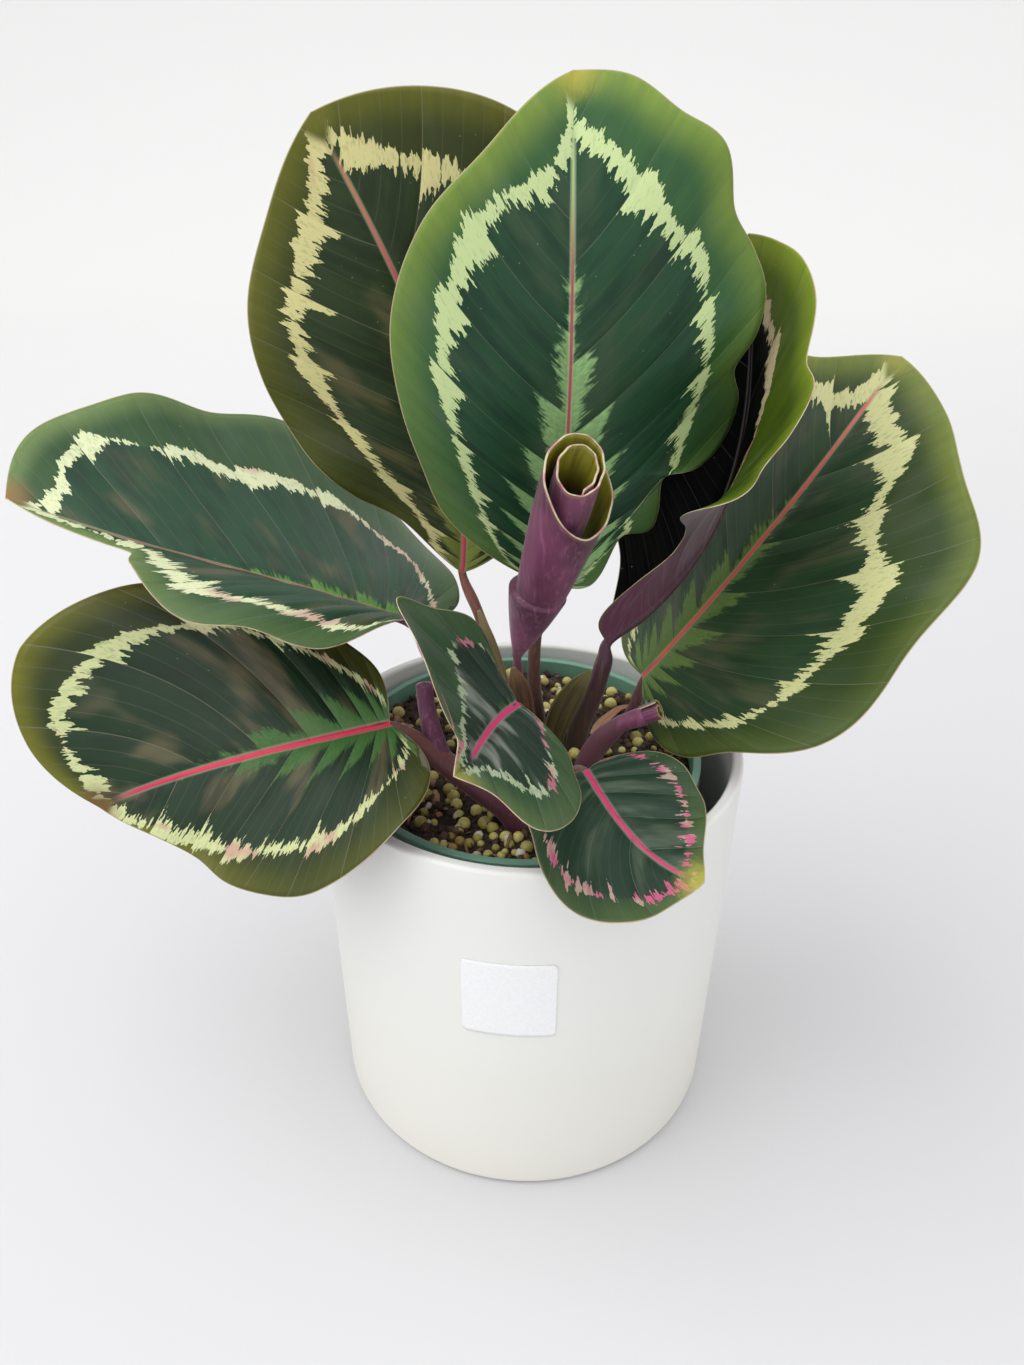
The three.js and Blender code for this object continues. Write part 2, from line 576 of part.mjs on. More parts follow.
function soilSolid() {
  const prillSolids = prillGeometries(stemPoints()).map(toSolid);
  let solid = prillSolids.reduce((whole, prill) => whole.add(prill), soilBody());
  solid = solid.transform(nurseryMatrix().elements);
  const stems = [
    ...Object.values(leaves).map((leaf) => leafStalk(leaf, gap)),
    ...Object.values(rolledLeaves).map((roll) => rolledStalk(roll, gap)),
    ...Object.values(bracts).map((bract) => sweepSolid(bract.path, bract.face, 8, 10, gap)),
  ];
  const drilled = stems.reduce((whole, stem) => whole.subtract(stem), solid);
  return drilled.decompose().reduce((best, piece) => (piece.volume() > best.volume() ? piece : best));
}

// The blank label follows the cover pot's front wall
function labelSolid() {
  const points = [];
  const { columns } = label;
  for (const height of [label.bottom, label.bottom + label.height]) {
    const share = height / coverPot.height;
    const wallRadius = THREE.MathUtils.lerp(coverPot.baseRadius, coverPot.rimRadius, share);
    const radius = wallRadius + gap + label.thickness / 2;
    for (let k = 0; k <= columns; k++) {
      const angle = radians(label.turn - 90) + (label.width / radius) * (k / columns - 0.5);
      points.push(new THREE.Vector3(radius * Math.cos(angle), radius * Math.sin(angle), height));
    }
  }
  const triangles = [];
  const wide = columns + 1;
  for (let k = 0; k < columns; k++) {
    triangles.push([k, k + 1, k + 1 + wide], [k, k + 1 + wide, k + wide]);
  }
  const bottomRim = Array.from({ length: columns }, (_, k) => k);
  const topRim = Array.from({ length: columns }, (_, k) => wide + columns - k);
  return toSolid(thicken(points, triangles, [...bottomRim, columns, ...topRim, wide], label.thickness));
}

const group = new THREE.Group();

function place(name, solid, color, roughness = 0.55) {
  const material = new THREE.MeshStandardMaterial({ color, roughness, metalness: 0, side: THREE.FrontSide });
  const mesh = new THREE.Mesh(toGeometry(solid), material);
  mesh.name = name;
  group.add(mesh);
}

place('cover_pot', coverPotSolid(), 0xeeece4, 0.4);
place('blank_label', labelSolid(), 0xf6f6f6, 0.6);
place('nursery_pot', nurseryPotSolid().transform(nurseryMatrix().elements), 0x3f7a66);
place('potting_soil', soilSolid(), 0x2d2119, 0.95);

for (const [name, leaf] of Object.entries(leaves)) {
  let solid = bladeSolid(leaf).add(leafStalk(leaf));
  if (name === 'leaf_left_lower') solid = solid.add(sweepSolid(cutStalk, leaf.stalkFace, 10, 6));
  place(name, solid, leaf.color, 0.4);
}
for (const [name, roll] of Object.entries(rolledLeaves)) {
  place(name, scrollSolid(roll).add(rolledStalk(roll)), roll.color, 0.5);
}
for (const [name, bract] of Object.entries(bracts)) {
  place(name, sweepSolid(bract.path, bract.face, 8, 10), bract.color, 0.7);
}

export default group;
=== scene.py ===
import math
import bmesh
import bpy
import numpy as np
from mathutils import Matrix


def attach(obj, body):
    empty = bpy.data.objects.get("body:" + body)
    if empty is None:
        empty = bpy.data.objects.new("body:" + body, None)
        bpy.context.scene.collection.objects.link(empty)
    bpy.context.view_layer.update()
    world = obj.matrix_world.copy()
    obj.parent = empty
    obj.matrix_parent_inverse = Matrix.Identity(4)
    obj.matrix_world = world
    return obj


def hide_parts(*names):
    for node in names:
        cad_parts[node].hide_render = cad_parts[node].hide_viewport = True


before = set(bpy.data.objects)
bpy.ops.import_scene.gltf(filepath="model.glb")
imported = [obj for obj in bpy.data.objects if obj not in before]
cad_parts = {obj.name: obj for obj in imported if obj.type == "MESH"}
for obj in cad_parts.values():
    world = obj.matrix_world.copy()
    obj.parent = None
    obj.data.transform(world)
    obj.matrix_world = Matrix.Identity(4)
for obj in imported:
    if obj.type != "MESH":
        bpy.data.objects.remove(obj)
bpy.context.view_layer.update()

mm = 0.001  # the sizes below are millimetres, the scene is in metres
print("frame: loaded", len(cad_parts), "nodes")


def tone(red, green, blue):  # a screen colour, 0 to 255, as linear light
    shares = np.array([red, green, blue]) / 255
    linear = np.where(shares < 0.04045, shares / 12.92, ((shares + 0.055) / 1.055) ** 2.4)
    return (*linear.tolist(), 1.0)


class Wire:  # an output socket that takes part in sums
    def __init__(self, shader, socket):
        self.shader = shader
        self.socket = socket

    def other(self, name):  # another output of the same node
        return Wire(self.shader, self.socket.node.outputs[name])

    def __add__(self, value):
        return self.shader.math("ADD", self, value)

    def __radd__(self, value):
        return self.shader.math("ADD", value, self)

    def __sub__(self, value):
        return self.shader.math("SUBTRACT", self, value)

    def __rsub__(self, value):
        return self.shader.math("SUBTRACT", value, self)

    def __mul__(self, value):
        return self.shader.math("MULTIPLY", self, value)

    def __rmul__(self, value):
        return self.shader.math("MULTIPLY", value, self)

    def __truediv__(self, value):
        return self.shader.math("DIVIDE", self, value)

    def __pow__(self, value):
        return self.shader.math("POWER", self, value)

    def __abs__(self):
        return self.shader.math("ABSOLUTE", self)


class Shader:  # the nodes of one material, or of the world
    def __init__(self, name, kind=bpy.data.materials):
        self.owner = kind.new(name)
        self.owner.use_nodes = True
        self.tree = self.owner.node_tree
        self.tree.nodes.clear()

    def node(self, kind, settings=None, sockets=None, out=0):
        made = self.tree.nodes.new(kind)
        for key, value in (settings or {}).items():
            setattr(made, key, value)
        for key, value in (sockets or {}).items():
            if isinstance(value, Wire):
                self.tree.links.new(value.socket, made.inputs[key])
            else:
                made.inputs[key].default_value = value
        return Wire(self, made.outputs[out]) if made.outputs else None

    def math(self, operation, *values):
        return self.node("ShaderNodeMath", {"operation": operation}, dict(enumerate(values)))

    def fract(self, value):
        return self.math("FRACT", value)

    def rise(self, value, low, high):  # 0 below low, 1 above high, smooth between
        sockets = {"Value": value, "From Min": low, "From Max": high}
        return self.node("ShaderNodeMapRange", {"interpolation_type": "SMOOTHSTEP"}, sockets)

    def vector(self, x, y, z):
        return self.node("ShaderNodeCombineXYZ", None, {0: x, 1: y, 2: z})

    def parts(self, vector):  # x, y and z of a vector
        split = self.node("ShaderNodeSeparateXYZ", None, {0: vector})
        return split, split.other("Y"), split.other("Z")

    def attribute(self, name):  # the three numbers of a layer on the mesh
        return self.parts(self.node("ShaderNodeAttribute", {"attribute_name": name}, None, "Vector"))

    def place(self):  # object coordinates in metres
        return self.node("ShaderNodeTexCoord", None, None, "Object")

    def noise(self, vector, scale, detail=2.0, roughness=0.5):
        sockets = {"Vector": vector, "Scale": scale, "Detail": detail, "Roughness": roughness}
        return self.node("ShaderNodeTexNoise", None, sockets)

    def distance(self, vector, point):
        settings = {"operation": "DISTANCE"}
        return self.node("ShaderNodeVectorMath", settings, {0: vector, 1: point}, "Value")

    def spots(self, vector, scale):  # distance to the nearest of scattered points
        return self.node("ShaderNodeTexVoronoi", None, {"Vector": vector, "Scale": scale})

    def blend(self, share, first, second):  # colour mix, first where the share is 0
        sockets = {0: share, 6: first, 7: second}
        return self.node("ShaderNodeMix", {"data_type": "RGBA"}, sockets, 2)

    def bump(self, height, distance, strength):  # distance in metres
        sockets = {"Height": height, "Distance": distance, "Strength": strength}
        return self.node("ShaderNodeBump", None, sockets)

    def surface(self, sockets):  # the closing shader and the output
        shader = self.node("ShaderNodeBsdfPrincipled", None, sockets)
        self.node("ShaderNodeOutputMaterial", None, {"Surface": shader})
        return self.owner


def smoothRead(values, u):  # a smooth curve through equally spaced values, read where u is 0 to 1
    values = np.asarray(values, float)
    last = len(values) - 1
    place = np.clip(u, 0, 1) * last
    i = np.minimum(np.floor(place).astype(int), last - 1)
    f = place - i
    p1 = values[i]
    p2 = values[i + 1]
    p0 = np.where(i > 0, values[np.maximum(i - 1, 0)], 2 * p1 - p2)
    p3 = np.where(i < last - 1, values[np.minimum(i + 2, last)], 2 * p2 - p1)
    square = (2 * p0 - 5 * p1 + 4 * p2 - p3) * f**2
    return 0.5 * (2 * p1 + (p2 - p0) * f + square + (3 * p1 - p0 - 3 * p2 + p3) * f**3)


def unit(vectors):
    return vectors / np.maximum(np.linalg.norm(vectors, axis=-1, keepdims=True), 1e-12)


def smoothPath(points, t):  # centripetal Catmull-Rom curve, ends continued straight
    points = np.asarray(points, float)
    whole = np.concatenate([[2 * points[0] - points[1]], points, [2 * points[-1] - points[-2]]])
    last = len(points) - 1
    i = np.minimum(np.floor(t * last).astype(int), last - 1)
    f = (t * last - i)[:, None]
    p0, p1, p2, p3 = (whole[i + k] for k in range(4))
    gaps = (p1 - p0, p2 - p1, p3 - p2)
    d0, d1, d2 = (np.sqrt(np.linalg.norm(gap, axis=1, keepdims=True)) for gap in gaps)
    m1 = d1 * ((p1 - p0) / d0 - (p2 - p0) / (d0 + d1) + (p2 - p1) / d1)
    m2 = d1 * ((p2 - p1) / d1 - (p3 - p1) / (d1 + d2) + (p3 - p2) / d2)
    bend = 3 * (p2 - p1) - 2 * m1 - m2
    return p1 + m1 * f + bend * f**2 + (2 * (p1 - p2) + m1 + m2) * f**3


def lattice(seed, size=64):  # a table of seeded random numbers that repeats
    return np.random.default_rng(seed).random((size, size))


def roughness2d(x, y, table):  # soft random hills, 0 to 1, one unit apart
    size = len(table)
    i = np.floor(x).astype(int)
    j = np.floor(y).astype(int)
    fx = x - i
    fy = y - j
    fx = fx * fx * (3 - 2 * fx)
    fy = fy * fy * (3 - 2 * fy)
    corners = [table[(i + a) % size, (j + b) % size] for a in (0, 1) for b in (0, 1)]
    low = corners[0] * (1 - fy) + corners[1] * fy
    high = corners[2] * (1 - fy) + corners[3] * fy
    return low * (1 - fx) + high * fx


def gridFaces(rows, columns, start=0, around=False):  # quads between rows of points, face side up
    i, j = np.meshgrid(np.arange(rows - 1), np.arange(columns - (not around)), indexing="ij")
    after = (j + 1) % columns
    quads = [i * columns + j, i * columns + after, (i + 1) * columns + after, (i + 1) * columns + j]
    return start + np.stack(quads, -1).reshape(-1, 4)


def wallFaces(upper, lower):  # quads between two rows of point numbers, upper row read in face order
    return np.stack([upper[1:], upper[:-1], lower[:-1], lower[1:]], -1)


# A piece of the object from points in millimetres and faces. Slots is a list of material numbers, one
# for each face, layers are vectors on the points for the shaders to read, and nodes are the plain solids
# that the piece stands for.
def makePiece(name, points, faces, materials, nodes=(), slots=None, layers=None):
    mesh = bpy.data.meshes.new(name)
    mesh.from_pydata((np.asarray(points) * mm).tolist(), [], [list(face) for face in faces])
    for material in materials:
        mesh.materials.append(material)
    if slots is not None:
        mesh.polygons.foreach_set("material_index", np.asarray(slots, np.int32))
    for key, values in (layers or {}).items():
        layer = mesh.attributes.new(key, "FLOAT_VECTOR", "POINT")
        layer.data.foreach_set("vector", np.asarray(values, np.float32).ravel())
    work = bmesh.new()
    work.from_mesh(mesh)
    bmesh.ops.remove_doubles(work, verts=work.verts, dist=2e-7)
    work.to_mesh(mesh)
    work.free()
    mesh.polygons.foreach_set("use_smooth", np.full(len(mesh.polygons), True))
    mesh.update()
    piece = bpy.data.objects.new(name, mesh)
    bpy.context.scene.collection.objects.link(piece)
    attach(piece, "root")
    if nodes:
        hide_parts(*nodes)
    return piece


# A camera or lamp from its place in metres and the directions of its right, top and back
def standUp(name, data, place, right, up, back):
    thing = bpy.data.objects.new(name, data)
    turn = np.eye(4)
    turn[:3] = np.stack([right, up, back, place], -1)
    thing.matrix_world = Matrix(turn.tolist())
    bpy.context.scene.collection.objects.link(thing)
    return thing


# Camera where the photograph was taken from, in millimetres and degrees
camera = {"place": (0, -262, 292), "pan": -1.2, "pitch": 29.5, "roll": 0.5, "focal": 27.16, "sensor": 36}


def placeCamera():
    pan, pitch, roll = (math.radians(camera[key]) for key in ("pan", "pitch", "roll"))
    ahead = np.array([math.sin(pan) * math.cos(pitch), math.cos(pan) * math.cos(pitch), -math.sin(pitch)])
    right = unit(np.cross(ahead, (0, 0, 1)))
    up = np.cross(right, ahead)
    turnedRight = math.cos(roll) * right + math.sin(roll) * up
    turnedUp = math.cos(roll) * up - math.sin(roll) * right
    data = bpy.data.cameras.new("camera")
    data.lens = camera["focal"]
    data.sensor_width = camera["sensor"]
    data.clip_start = 0.01
    place = np.array(camera["place"]) * mm
    bpy.context.scene.camera = standUp("camera", data, place, turnedRight, turnedUp, -ahead)


placeCamera()


# Leaves. Base and tip end the midrib, face is the way the upper side looks, arch and sway bend the midrib
# towards that side and to the right at a third and two thirds, and twist turns it from base to tip.
# Veins is how many main veins each half has, and rib the midrib's half width. Each half has its fold
# from the midrib and its curl in one curl span, at base and tip, in degrees, then the margin's wave as
# height, count and phase, and outline radii from the leaf's middle, read from the base round to the tip.
# Ring is how far out the pale ring lies, as a share of each vein, read as the radii are. Stalk points
# are x, y, z and radius.
leafShape = {
    "middle": 0.46, "veinPower": 3.0, "veinSweep": 0.32, "halvings": 26, "curlSpan": 40,
    "rows": 170, "columns": 36, "crowd": 1.35, "thickness": 0.44, "pleat": 0.7, "halfTurn": 0.35,
    "valley": 0.55, "valleyWidth": 1.9, "ridge": 0.4, "ridgeWidth": 0.55,
}
# The stalk runs on under the blade as its rib, and swells a little just below the blade, as a knee
stalkShape = {
    "rows": 110, "sides": 14, "ribPoints": 12, "ribTip": 0.35, "ribShare": 0.72,
    "knee": 0.22, "kneeAt": 7, "kneeSpread": 4,
}
leaves = {
    "leaf_centre": {
        "base": (6, 4, 173), "tip": (7, 10, 298), "face": (0.24, -0.97, 0.04),
        "arch": (-3, 17), "sway": (5, -3), "twist": 6, "veins": 11, "rib": 0.5,
        "left": {
            "fold": (12, 13), "curl": (0, -12), "wave": (1.2, 2.5, 0.1),
            "radii": (52, 48, 44, 45, 49, 52, 55),
            "ring": (0.5, 0.5, 0.52, 0.58, 0.63, 0.74, 0.78, 0.7, -0.2),
        },
        "right": {
            "fold": (2, 11), "curl": (-16, -3), "wave": (1.8, 3.5, 0.3),
            "radii": (58, 48, 50, 39, 46, 50, 49, 44, 49, 53, 54, 55, 63, 64, 68),
            "ring": (
                0.5, 0.55, 0.6, 0.68, 0.7, 0.62, 0.57, 0.63, 0.73, 0.71, 0.72, 0.75, 0.8, 0.66, 0.62,
                0.4, -0.2,
            ),
        },
        "stalk": ((1.5, 6, 158, 1.7), (1, 10, 139, 2), (2.5, 17.5, 121, 2.3), (3, 20, 108, 2.3)),
    },
    "leaf_back_left": {
        "base": (-21, 21, 169), "tip": (-57, 27, 289), "face": (0.13, -0.99, 0.09),
        "arch": (0, 0), "sway": (17, 9), "twist": 3, "veins": 10, "rib": 0.6,
        "left": {
            "fold": (6, 6), "curl": (4, 4), "wave": (1.5, 3, 0.2),
            "radii": (45, 43, 42, 43, 47, 53, 58),
            "ring": (0.3, 0.28, 0.25, 0.26, 0.47, 0.67, 0.78, 0.71, 0.45),
        },
        "right": {
            "fold": (6, 7), "curl": (0, 0), "wave": (1.5, 2.5, 0.6),
            "radii": (49, 45, 43, 48, 59, 64, 66),
            "ring": (0.5, 0.55, 0.6, 0.63, 0.66, 0.7, 0.72, 0.67, 0.3),
        },
        "stalk": ((-16.5, 20, 157, 1.6), (-11, 18.5, 141, 2), (-6.5, 18, 121, 2.6), (-5.5, 18, 108, 2.6)),
    },
    "leaf_left_upper": {
        "base": (-33, -9, 168), "tip": (-139, -6, 200), "face": (0.28, -0.23, 0.93),
        "arch": (-2, -1), "sway": (5, -4), "twist": 28, "veins": 9, "rib": 0.45,
        "left": {
            "fold": (24, 43), "curl": (-40, -40), "wave": (1.2, 3, 0),
            "radii": (51, 49, 39, 37, 32, 29, 28),
            "ring": (0.6, 0.66, 0.7, 0.67, 0.66, 0.8, 0.76, 0.6, -0.1),
        },
        "right": {
            "fold": (-4, -2), "curl": (0, 1), "wave": (1.8, 4, 0.4),
            "radii": (64, 69, 80, 85, 71, 72, 72),
            "ring": (0.5, 0.5, 0.52, 0.6, 0.63, 0.68, 0.74, 0.76, 0),
        },
        "stalk": ((-27, -7.5, 158, 1.7), (-18, -2, 140, 2), (-11, 5, 121, 2.2), (-10, 7, 108, 2.2)),
    },
    "leaf_left_lower": {
        "base": (-38, -26, 145), "tip": (-121, -30, 118), "face": (-0.2, -0.66, 0.72),
        "arch": (5, 3), "sway": (0, 3), "twist": 27, "veins": 9, "rib": 1.0,
        "left": {
            "fold": (13, -11), "curl": (-10, -12), "wave": (1.5, 3, 0.5),
            "radii": (53, 52, 45, 38, 34, 32, 36),
            "ring": (0.5, 0.52, 0.55, 0.7, 0.73, 0.8, 0.86, 0.9, 0.8),
        },
        "right": {
            "fold": (7, 13), "curl": (0, 0), "wave": (1.2, 2.5, 0.2),
            "radii": (43, 42, 43, 48, 61, 68, 63),
            "ring": (0.4, 0.4, 0.45, 0.55, 0.63, 0.71, 0.78, 0.79, 0.5),
        },
        "stalk": (
            (-31, -26, 140, 2), (-24, -26, 133.5, 3.3), (-14, -28.5, 126, 3.3),
            (-6, -30, 119, 3), (1, -32, 108, 2.8),
        ),
    },
    "leaf_right": {
        "base": (34, 14, 139), "tip": (101, 33, 231), "face": (-0.67, -0.46, 0.59),
        "arch": (3, 0), "sway": (6, 3), "twist": -10, "veins": 10, "rib": 0.85,
        "left": {
            "fold": (-6, 0), "curl": (0, 0), "wave": (1.2, 3, 0.5),
            "radii": (58, 47, 49, 53, 58, 65, 58),
            "ring": (0.55, 0.6, 0.64, 0.68, 0.7, 0.73, 0.75, 0.74, -0.1),
        },
        "right": {
            "fold": (1, 3), "curl": (0, 0), "wave": (1.8, 4, 0.1),
            "radii": (64, 62, 67, 62, 63, 57, 58),
            "ring": (0.55, 0.58, 0.63, 0.65, 0.7, 0.71, 0.63, 0.66, -0.1),
        },
        "stalk": ((33, 14, 131, 1.5), (30, 15, 121, 1.7), (28, 16, 108, 1.7)),
    },
    "leaf_folded": {
        "base": (22, 11, 152), "tip": (55, 33, 262), "face": (-0.44, -0.85, 0.3),
        "arch": (-21, -16), "sway": (26, 14), "twist": 0, "veins": 10, "rib": 0.6,
        "left": {
            "fold": (16, 8), "curl": (0, 0), "wave": (1.5, 3, 0),
            "radii": (41, 39, 39, 39, 40, 42, 45),
            "ring": (0.55, 0.6, 0.64, 0.68, 0.7, 0.7, 0.7, 0.6, 0.3),
        },
        "right": {
            "fold": (109, 34), "curl": (0, 0), "wave": (0, 3, 0),
            "radii": (53, 43, 33, 31, 33, 41, 61, 76, 55, 56, 58, 53, 60, 63, 63),
            "ring": (0.4, 0.42, 0.45, 0.46, 0.48, 0.48, 0.49, 0.56, 0.3),
        },
        "stalk": ((22, 11.5, 146, 2.1), (19.5, 12, 134, 3), (15.5, 12.5, 121, 3.3), (14, 12.5, 108, 3.3)),
    },
    "leaf_front_small": {
        "base": (-3, -36, 158), "tip": (-16, -82, 167), "face": (0.66, -0.03, 0.75),
        "arch": (-4, -2), "sway": (3, -2), "twist": 6, "veins": 7, "rib": 0.8,
        "left": {
            "fold": (19, 22), "curl": (-14, -37), "wave": (0.8, 2, 0.2),
            "radii": (23, 26, 25, 27, 29, 29, 24),
            "ring": (0.45, 0.45, 0.45, 0.5, 0.6, 0.72, 0.67, 0.45, 0.2),
        },
        "right": {
            "fold": (10, 26), "curl": (8, -11), "wave": (0.8, 2.5, 0.5),
            "radii": (25, 33, 34, 39, 35, 28, 16),
            "ring": (0.6, 0.62, 0.64, 0.65, 0.5, 0.38, 0.42, 0.65, 0.5),
        },
        "stalk": ((-1, -31.5, 150, 1.5), (2.5, -23, 136, 1.8), (5, -13, 121, 2), (5.5, -10, 108, 2)),
    },
    "leaf_front_right": {
        "base": (15, -36, 138), "tip": (42, -72, 131), "face": (-0.14, -0.28, 0.95),
        "arch": (2, -3), "sway": (4, 7), "twist": 2, "veins": 7, "rib": 0.75,
        "left": {
            "fold": (4, 4), "curl": (-5, -5), "wave": (0.8, 2.5, 0.3),
            "radii": (23, 25, 24, 22, 22, 22, 22),
            "ring": (0.7, 0.74, 0.77, 0.78, 0.8, 0.8, 0.78, 0.74, 0.3),
        },
        "right": {
            "fold": (1, 1), "curl": (-2, -2), "wave": (0.8, 3, 0.1),
            "radii": (23, 26, 23, 24, 26, 25, 23),
            "ring": (0.7, 0.74, 0.78, 0.8, 0.8, 0.79, 0.82, 0.84, 0.6),
        },
        "stalk": ((13.5, -33, 135.5, 1.5), (11, -27, 129, 1.6), (10, -21.5, 119, 1.7), (9.5, -20, 108, 1.7)),
    },
}


# The midrib is a cubic curve. Returns its points, its direction, the side to the right and the upper side.
def midribAt(leaf, t):
    base, tip, face = (np.array(leaf[key], float) for key in ("base", "tip", "face"))
    chord = tip - base
    side0 = unit(np.cross(chord, face))
    up0 = unit(np.cross(side0, chord))
    first, second = (
        base + chord * (k + 1) / 3 + up0 * leaf["arch"][k] + side0 * leaf["sway"][k] for k in (0, 1)
    )
    t = np.asarray(t, float)[..., None]
    rest = 1 - t
    point = rest**3 * base + 3 * rest**2 * t * first + 3 * rest * t**2 * second + t**3 * tip
    slope = 3 * rest**2 * (first - base) + 6 * rest * t * (second - first) + 3 * t**2 * (tip - second)
    along = unit(slope)
    turn = math.radians(leaf["twist"]) * (t - 0.5)
    side = side0 * np.cos(turn) + up0 * np.sin(turn)
    side = unit(side - along * (side * along).sum(-1, keepdims=True))
    return point, along, side, np.cross(side, along)


def halfOf(leaf, hand):  # hand is -1 for the left half and 1 for the right
    return leaf["left" if hand < 0 else "right"]


def leafLength(leaf):
    return np.linalg.norm(np.subtract(leaf["tip"], leaf["base"]))


# Outline of one half of the flat leaf: u runs along the margin from base to tip. Returns how far along
# the midrib and how far out from it the margin lies, and the leaf's length.
def marginAt(leaf, hand, u):
    length = leafLength(leaf)
    middle = leafShape["middle"] * length
    radius = smoothRead((middle, *halfOf(leaf, hand)["radii"], length - middle), u)
    return middle - radius * np.cos(np.pi * u), radius * np.sin(np.pi * u), length


# The half leaves the midrib at its fold angle and bends on as a circular arc. Reach is the distance
# along the midrib, across the distance out from it and lift the margin's wave.
def halfBlade(leaf, hand, reach, across, lift):
    half = halfOf(leaf, hand)
    length = leafLength(leaf)
    t = np.clip(reach / length, 0, 1)
    point, along, side, up = midribAt(leaf, t)
    fold = np.radians(half["fold"][0] + (half["fold"][1] - half["fold"][0]) * t)
    rate = np.radians(half["curl"][0] + (half["curl"][1] - half["curl"][0]) * t) / leafShape["curlSpan"]
    rate = np.where(np.abs(rate) < 1e-6, 1e-6, rate)
    sideways = (np.sin(fold + rate * across) - np.sin(fold)) / rate
    rise = (np.cos(fold) - np.cos(fold + rate * across)) / rate
    points = point + along * (reach - t * length)[..., None]
    return points + side * (hand * sideways)[..., None] + up * (rise + lift)[..., None]


# The side vein through a point of the flat leaf, found by halving: veins leave the midrib early, sweep
# towards the tip and end on the margin. Returns u, the share v gone along the vein, and its length.
def veinThrough(leaf, hand, reach, across):
    low, high = np.zeros(reach.shape), np.ones(reach.shape)
    for _ in range(leafShape["halvings"]):
        u = (low + high) / 2
        marginReach, marginAcross, length = marginAt(leaf, hand, u)
        v = np.clip(across / np.maximum(marginAcross, 1e-6), 0, 1)
        start = length * u ** leafShape["veinPower"]
        bend = start + (marginReach - start) * leafShape["veinSweep"]
        behind = (1 - v) ** 2 * start + 2 * v * (1 - v) * bend + v**2 * marginReach < reach
        low, high = np.where(behind, u, low), np.where(behind, high, u)
    return u, v, np.hypot(marginReach - start, marginAcross)


# Surface normals of a grid of points, from the steps along and across it
def gridNormals(points):
    across = np.gradient(points, axis=1)
    along = np.gradient(points, axis=0)
    return unit(np.cross(across, along))


# A tube carried along a path of points, with a radius for each. Its rings keep one side towards the
# front, and both ends close in a low cone.
def closedTube(path, radius, sides):
    rows = len(path)
    front, domeShare = (0, -1, 0.2), 0.3
    tangent = unit(np.gradient(path, axis=0))
    side = unit(np.cross(tangent, front))
    up = np.cross(side, tangent)
    angle = np.linspace(0, 2 * np.pi, sides, endpoint=False)
    around = side[:, None] * np.cos(angle)[None, :, None] + up[:, None] * np.sin(angle)[None, :, None]
    points = path[:, None] + radius[:, None, None] * around
    body = gridFaces(rows, sides, around=True)[:, ::-1]
    ends = path[[0, -1]] + tangent[[0, -1]] * (radius[[0, -1]] * (-domeShare, domeShare))[:, None]
    ring = np.arange(sides)
    after = (ring + 1) % sides
    first = np.stack([ring, after, np.full(sides, rows * sides)], -1)
    lastRow = (rows - 1) * sides
    last = np.stack([after + lastRow, ring + lastRow, np.full(sides, rows * sides + 1)], -1)
    flat = np.concatenate([points.reshape(-1, 3), ends])
    return flat, [*body.tolist(), *first.tolist(), *last.tolist()]


# The blade as a grid, row by row from base to tip, column by column from the left margin over the midrib
# to the right margin. Pleats between the main veins and a valley with a rib along the midrib are raised
# along the surface normal.
def bladeGrid(leaf):
    rows, columns = leafShape["rows"], leafShape["columns"]
    u = np.concatenate([[0], np.linspace(0.012, 0.992, rows), [1]])[:, None]
    reach = np.linspace(-1, 1, 2 * columns + 1)[None, :]
    share = np.abs(reach) ** leafShape["crowd"]
    onLeft = reach < 0
    sides = []
    for hand in (-1, 1):
        half = halfOf(leaf, hand)
        marginReach, marginAcross, length = marginAt(leaf, hand, u)
        start = length * (u - u**3 + u**5)
        height, count, phase = half["wave"]
        wave = height * np.minimum(1, 6 * u * (1 - u)) * np.sin(2 * np.pi * (count * u + phase))
        far, out = start + (marginReach - start) * share, marginAcross * share
        vein, v, veinLength = veinThrough(leaf, hand, far, out)
        ring = smoothRead(half["ring"], vein)
        points = halfBlade(leaf, hand, far, out, wave * share**2.5)
        layers = np.stack([hand * out, vein, hand * v, veinLength, ring], -1)
        sides.append(np.concatenate([points, layers], -1))
    both = np.where(onLeft[..., None], *sides)
    points = both[..., :3]
    across, vein, signed, veinLength, ring = np.moveaxis(both[..., 3:], -1, 0)
    normals = gridNormals(points)
    normals[0] = unit(normals[1].mean(0))
    normals[-1] = unit(normals[-2].mean(0))
    v = np.abs(signed)
    sector = (vein * leaf["veins"] + np.where(onLeft, 0.0, leafShape["halfTurn"])) % 1
    fade = np.clip(v / 0.12, 0, 1) * np.clip((1 - share) / 0.15, 0, 1) * np.minimum(1, 8 * u * (1 - u))
    pleat = leafShape["pleat"] * fade * (np.sqrt(np.sin(np.pi * sector)) - 0.75)
    valley = leafShape["valley"] * np.exp(-((across / leafShape["valleyWidth"]) ** 2))
    ridge = leafShape["ridge"] * np.exp(-((across / leafShape["ridgeWidth"]) ** 2))
    points = points + normals * (pleat + (ridge - valley) * np.minimum(1, 6 * (1 - u)))[..., None]
    steps = np.linalg.norm(np.diff(points, axis=1), axis=-1)
    gone = np.concatenate([np.zeros((len(u), 1)), np.cumsum(steps, axis=1)], axis=1)
    toEdge = np.minimum(gone, gone[:, -1:] - gone)
    veinLayer = np.stack([vein, signed, toEdge], -1)
    return points, normals, share, veinLayer, np.stack([ring, across, veinLength], -1)


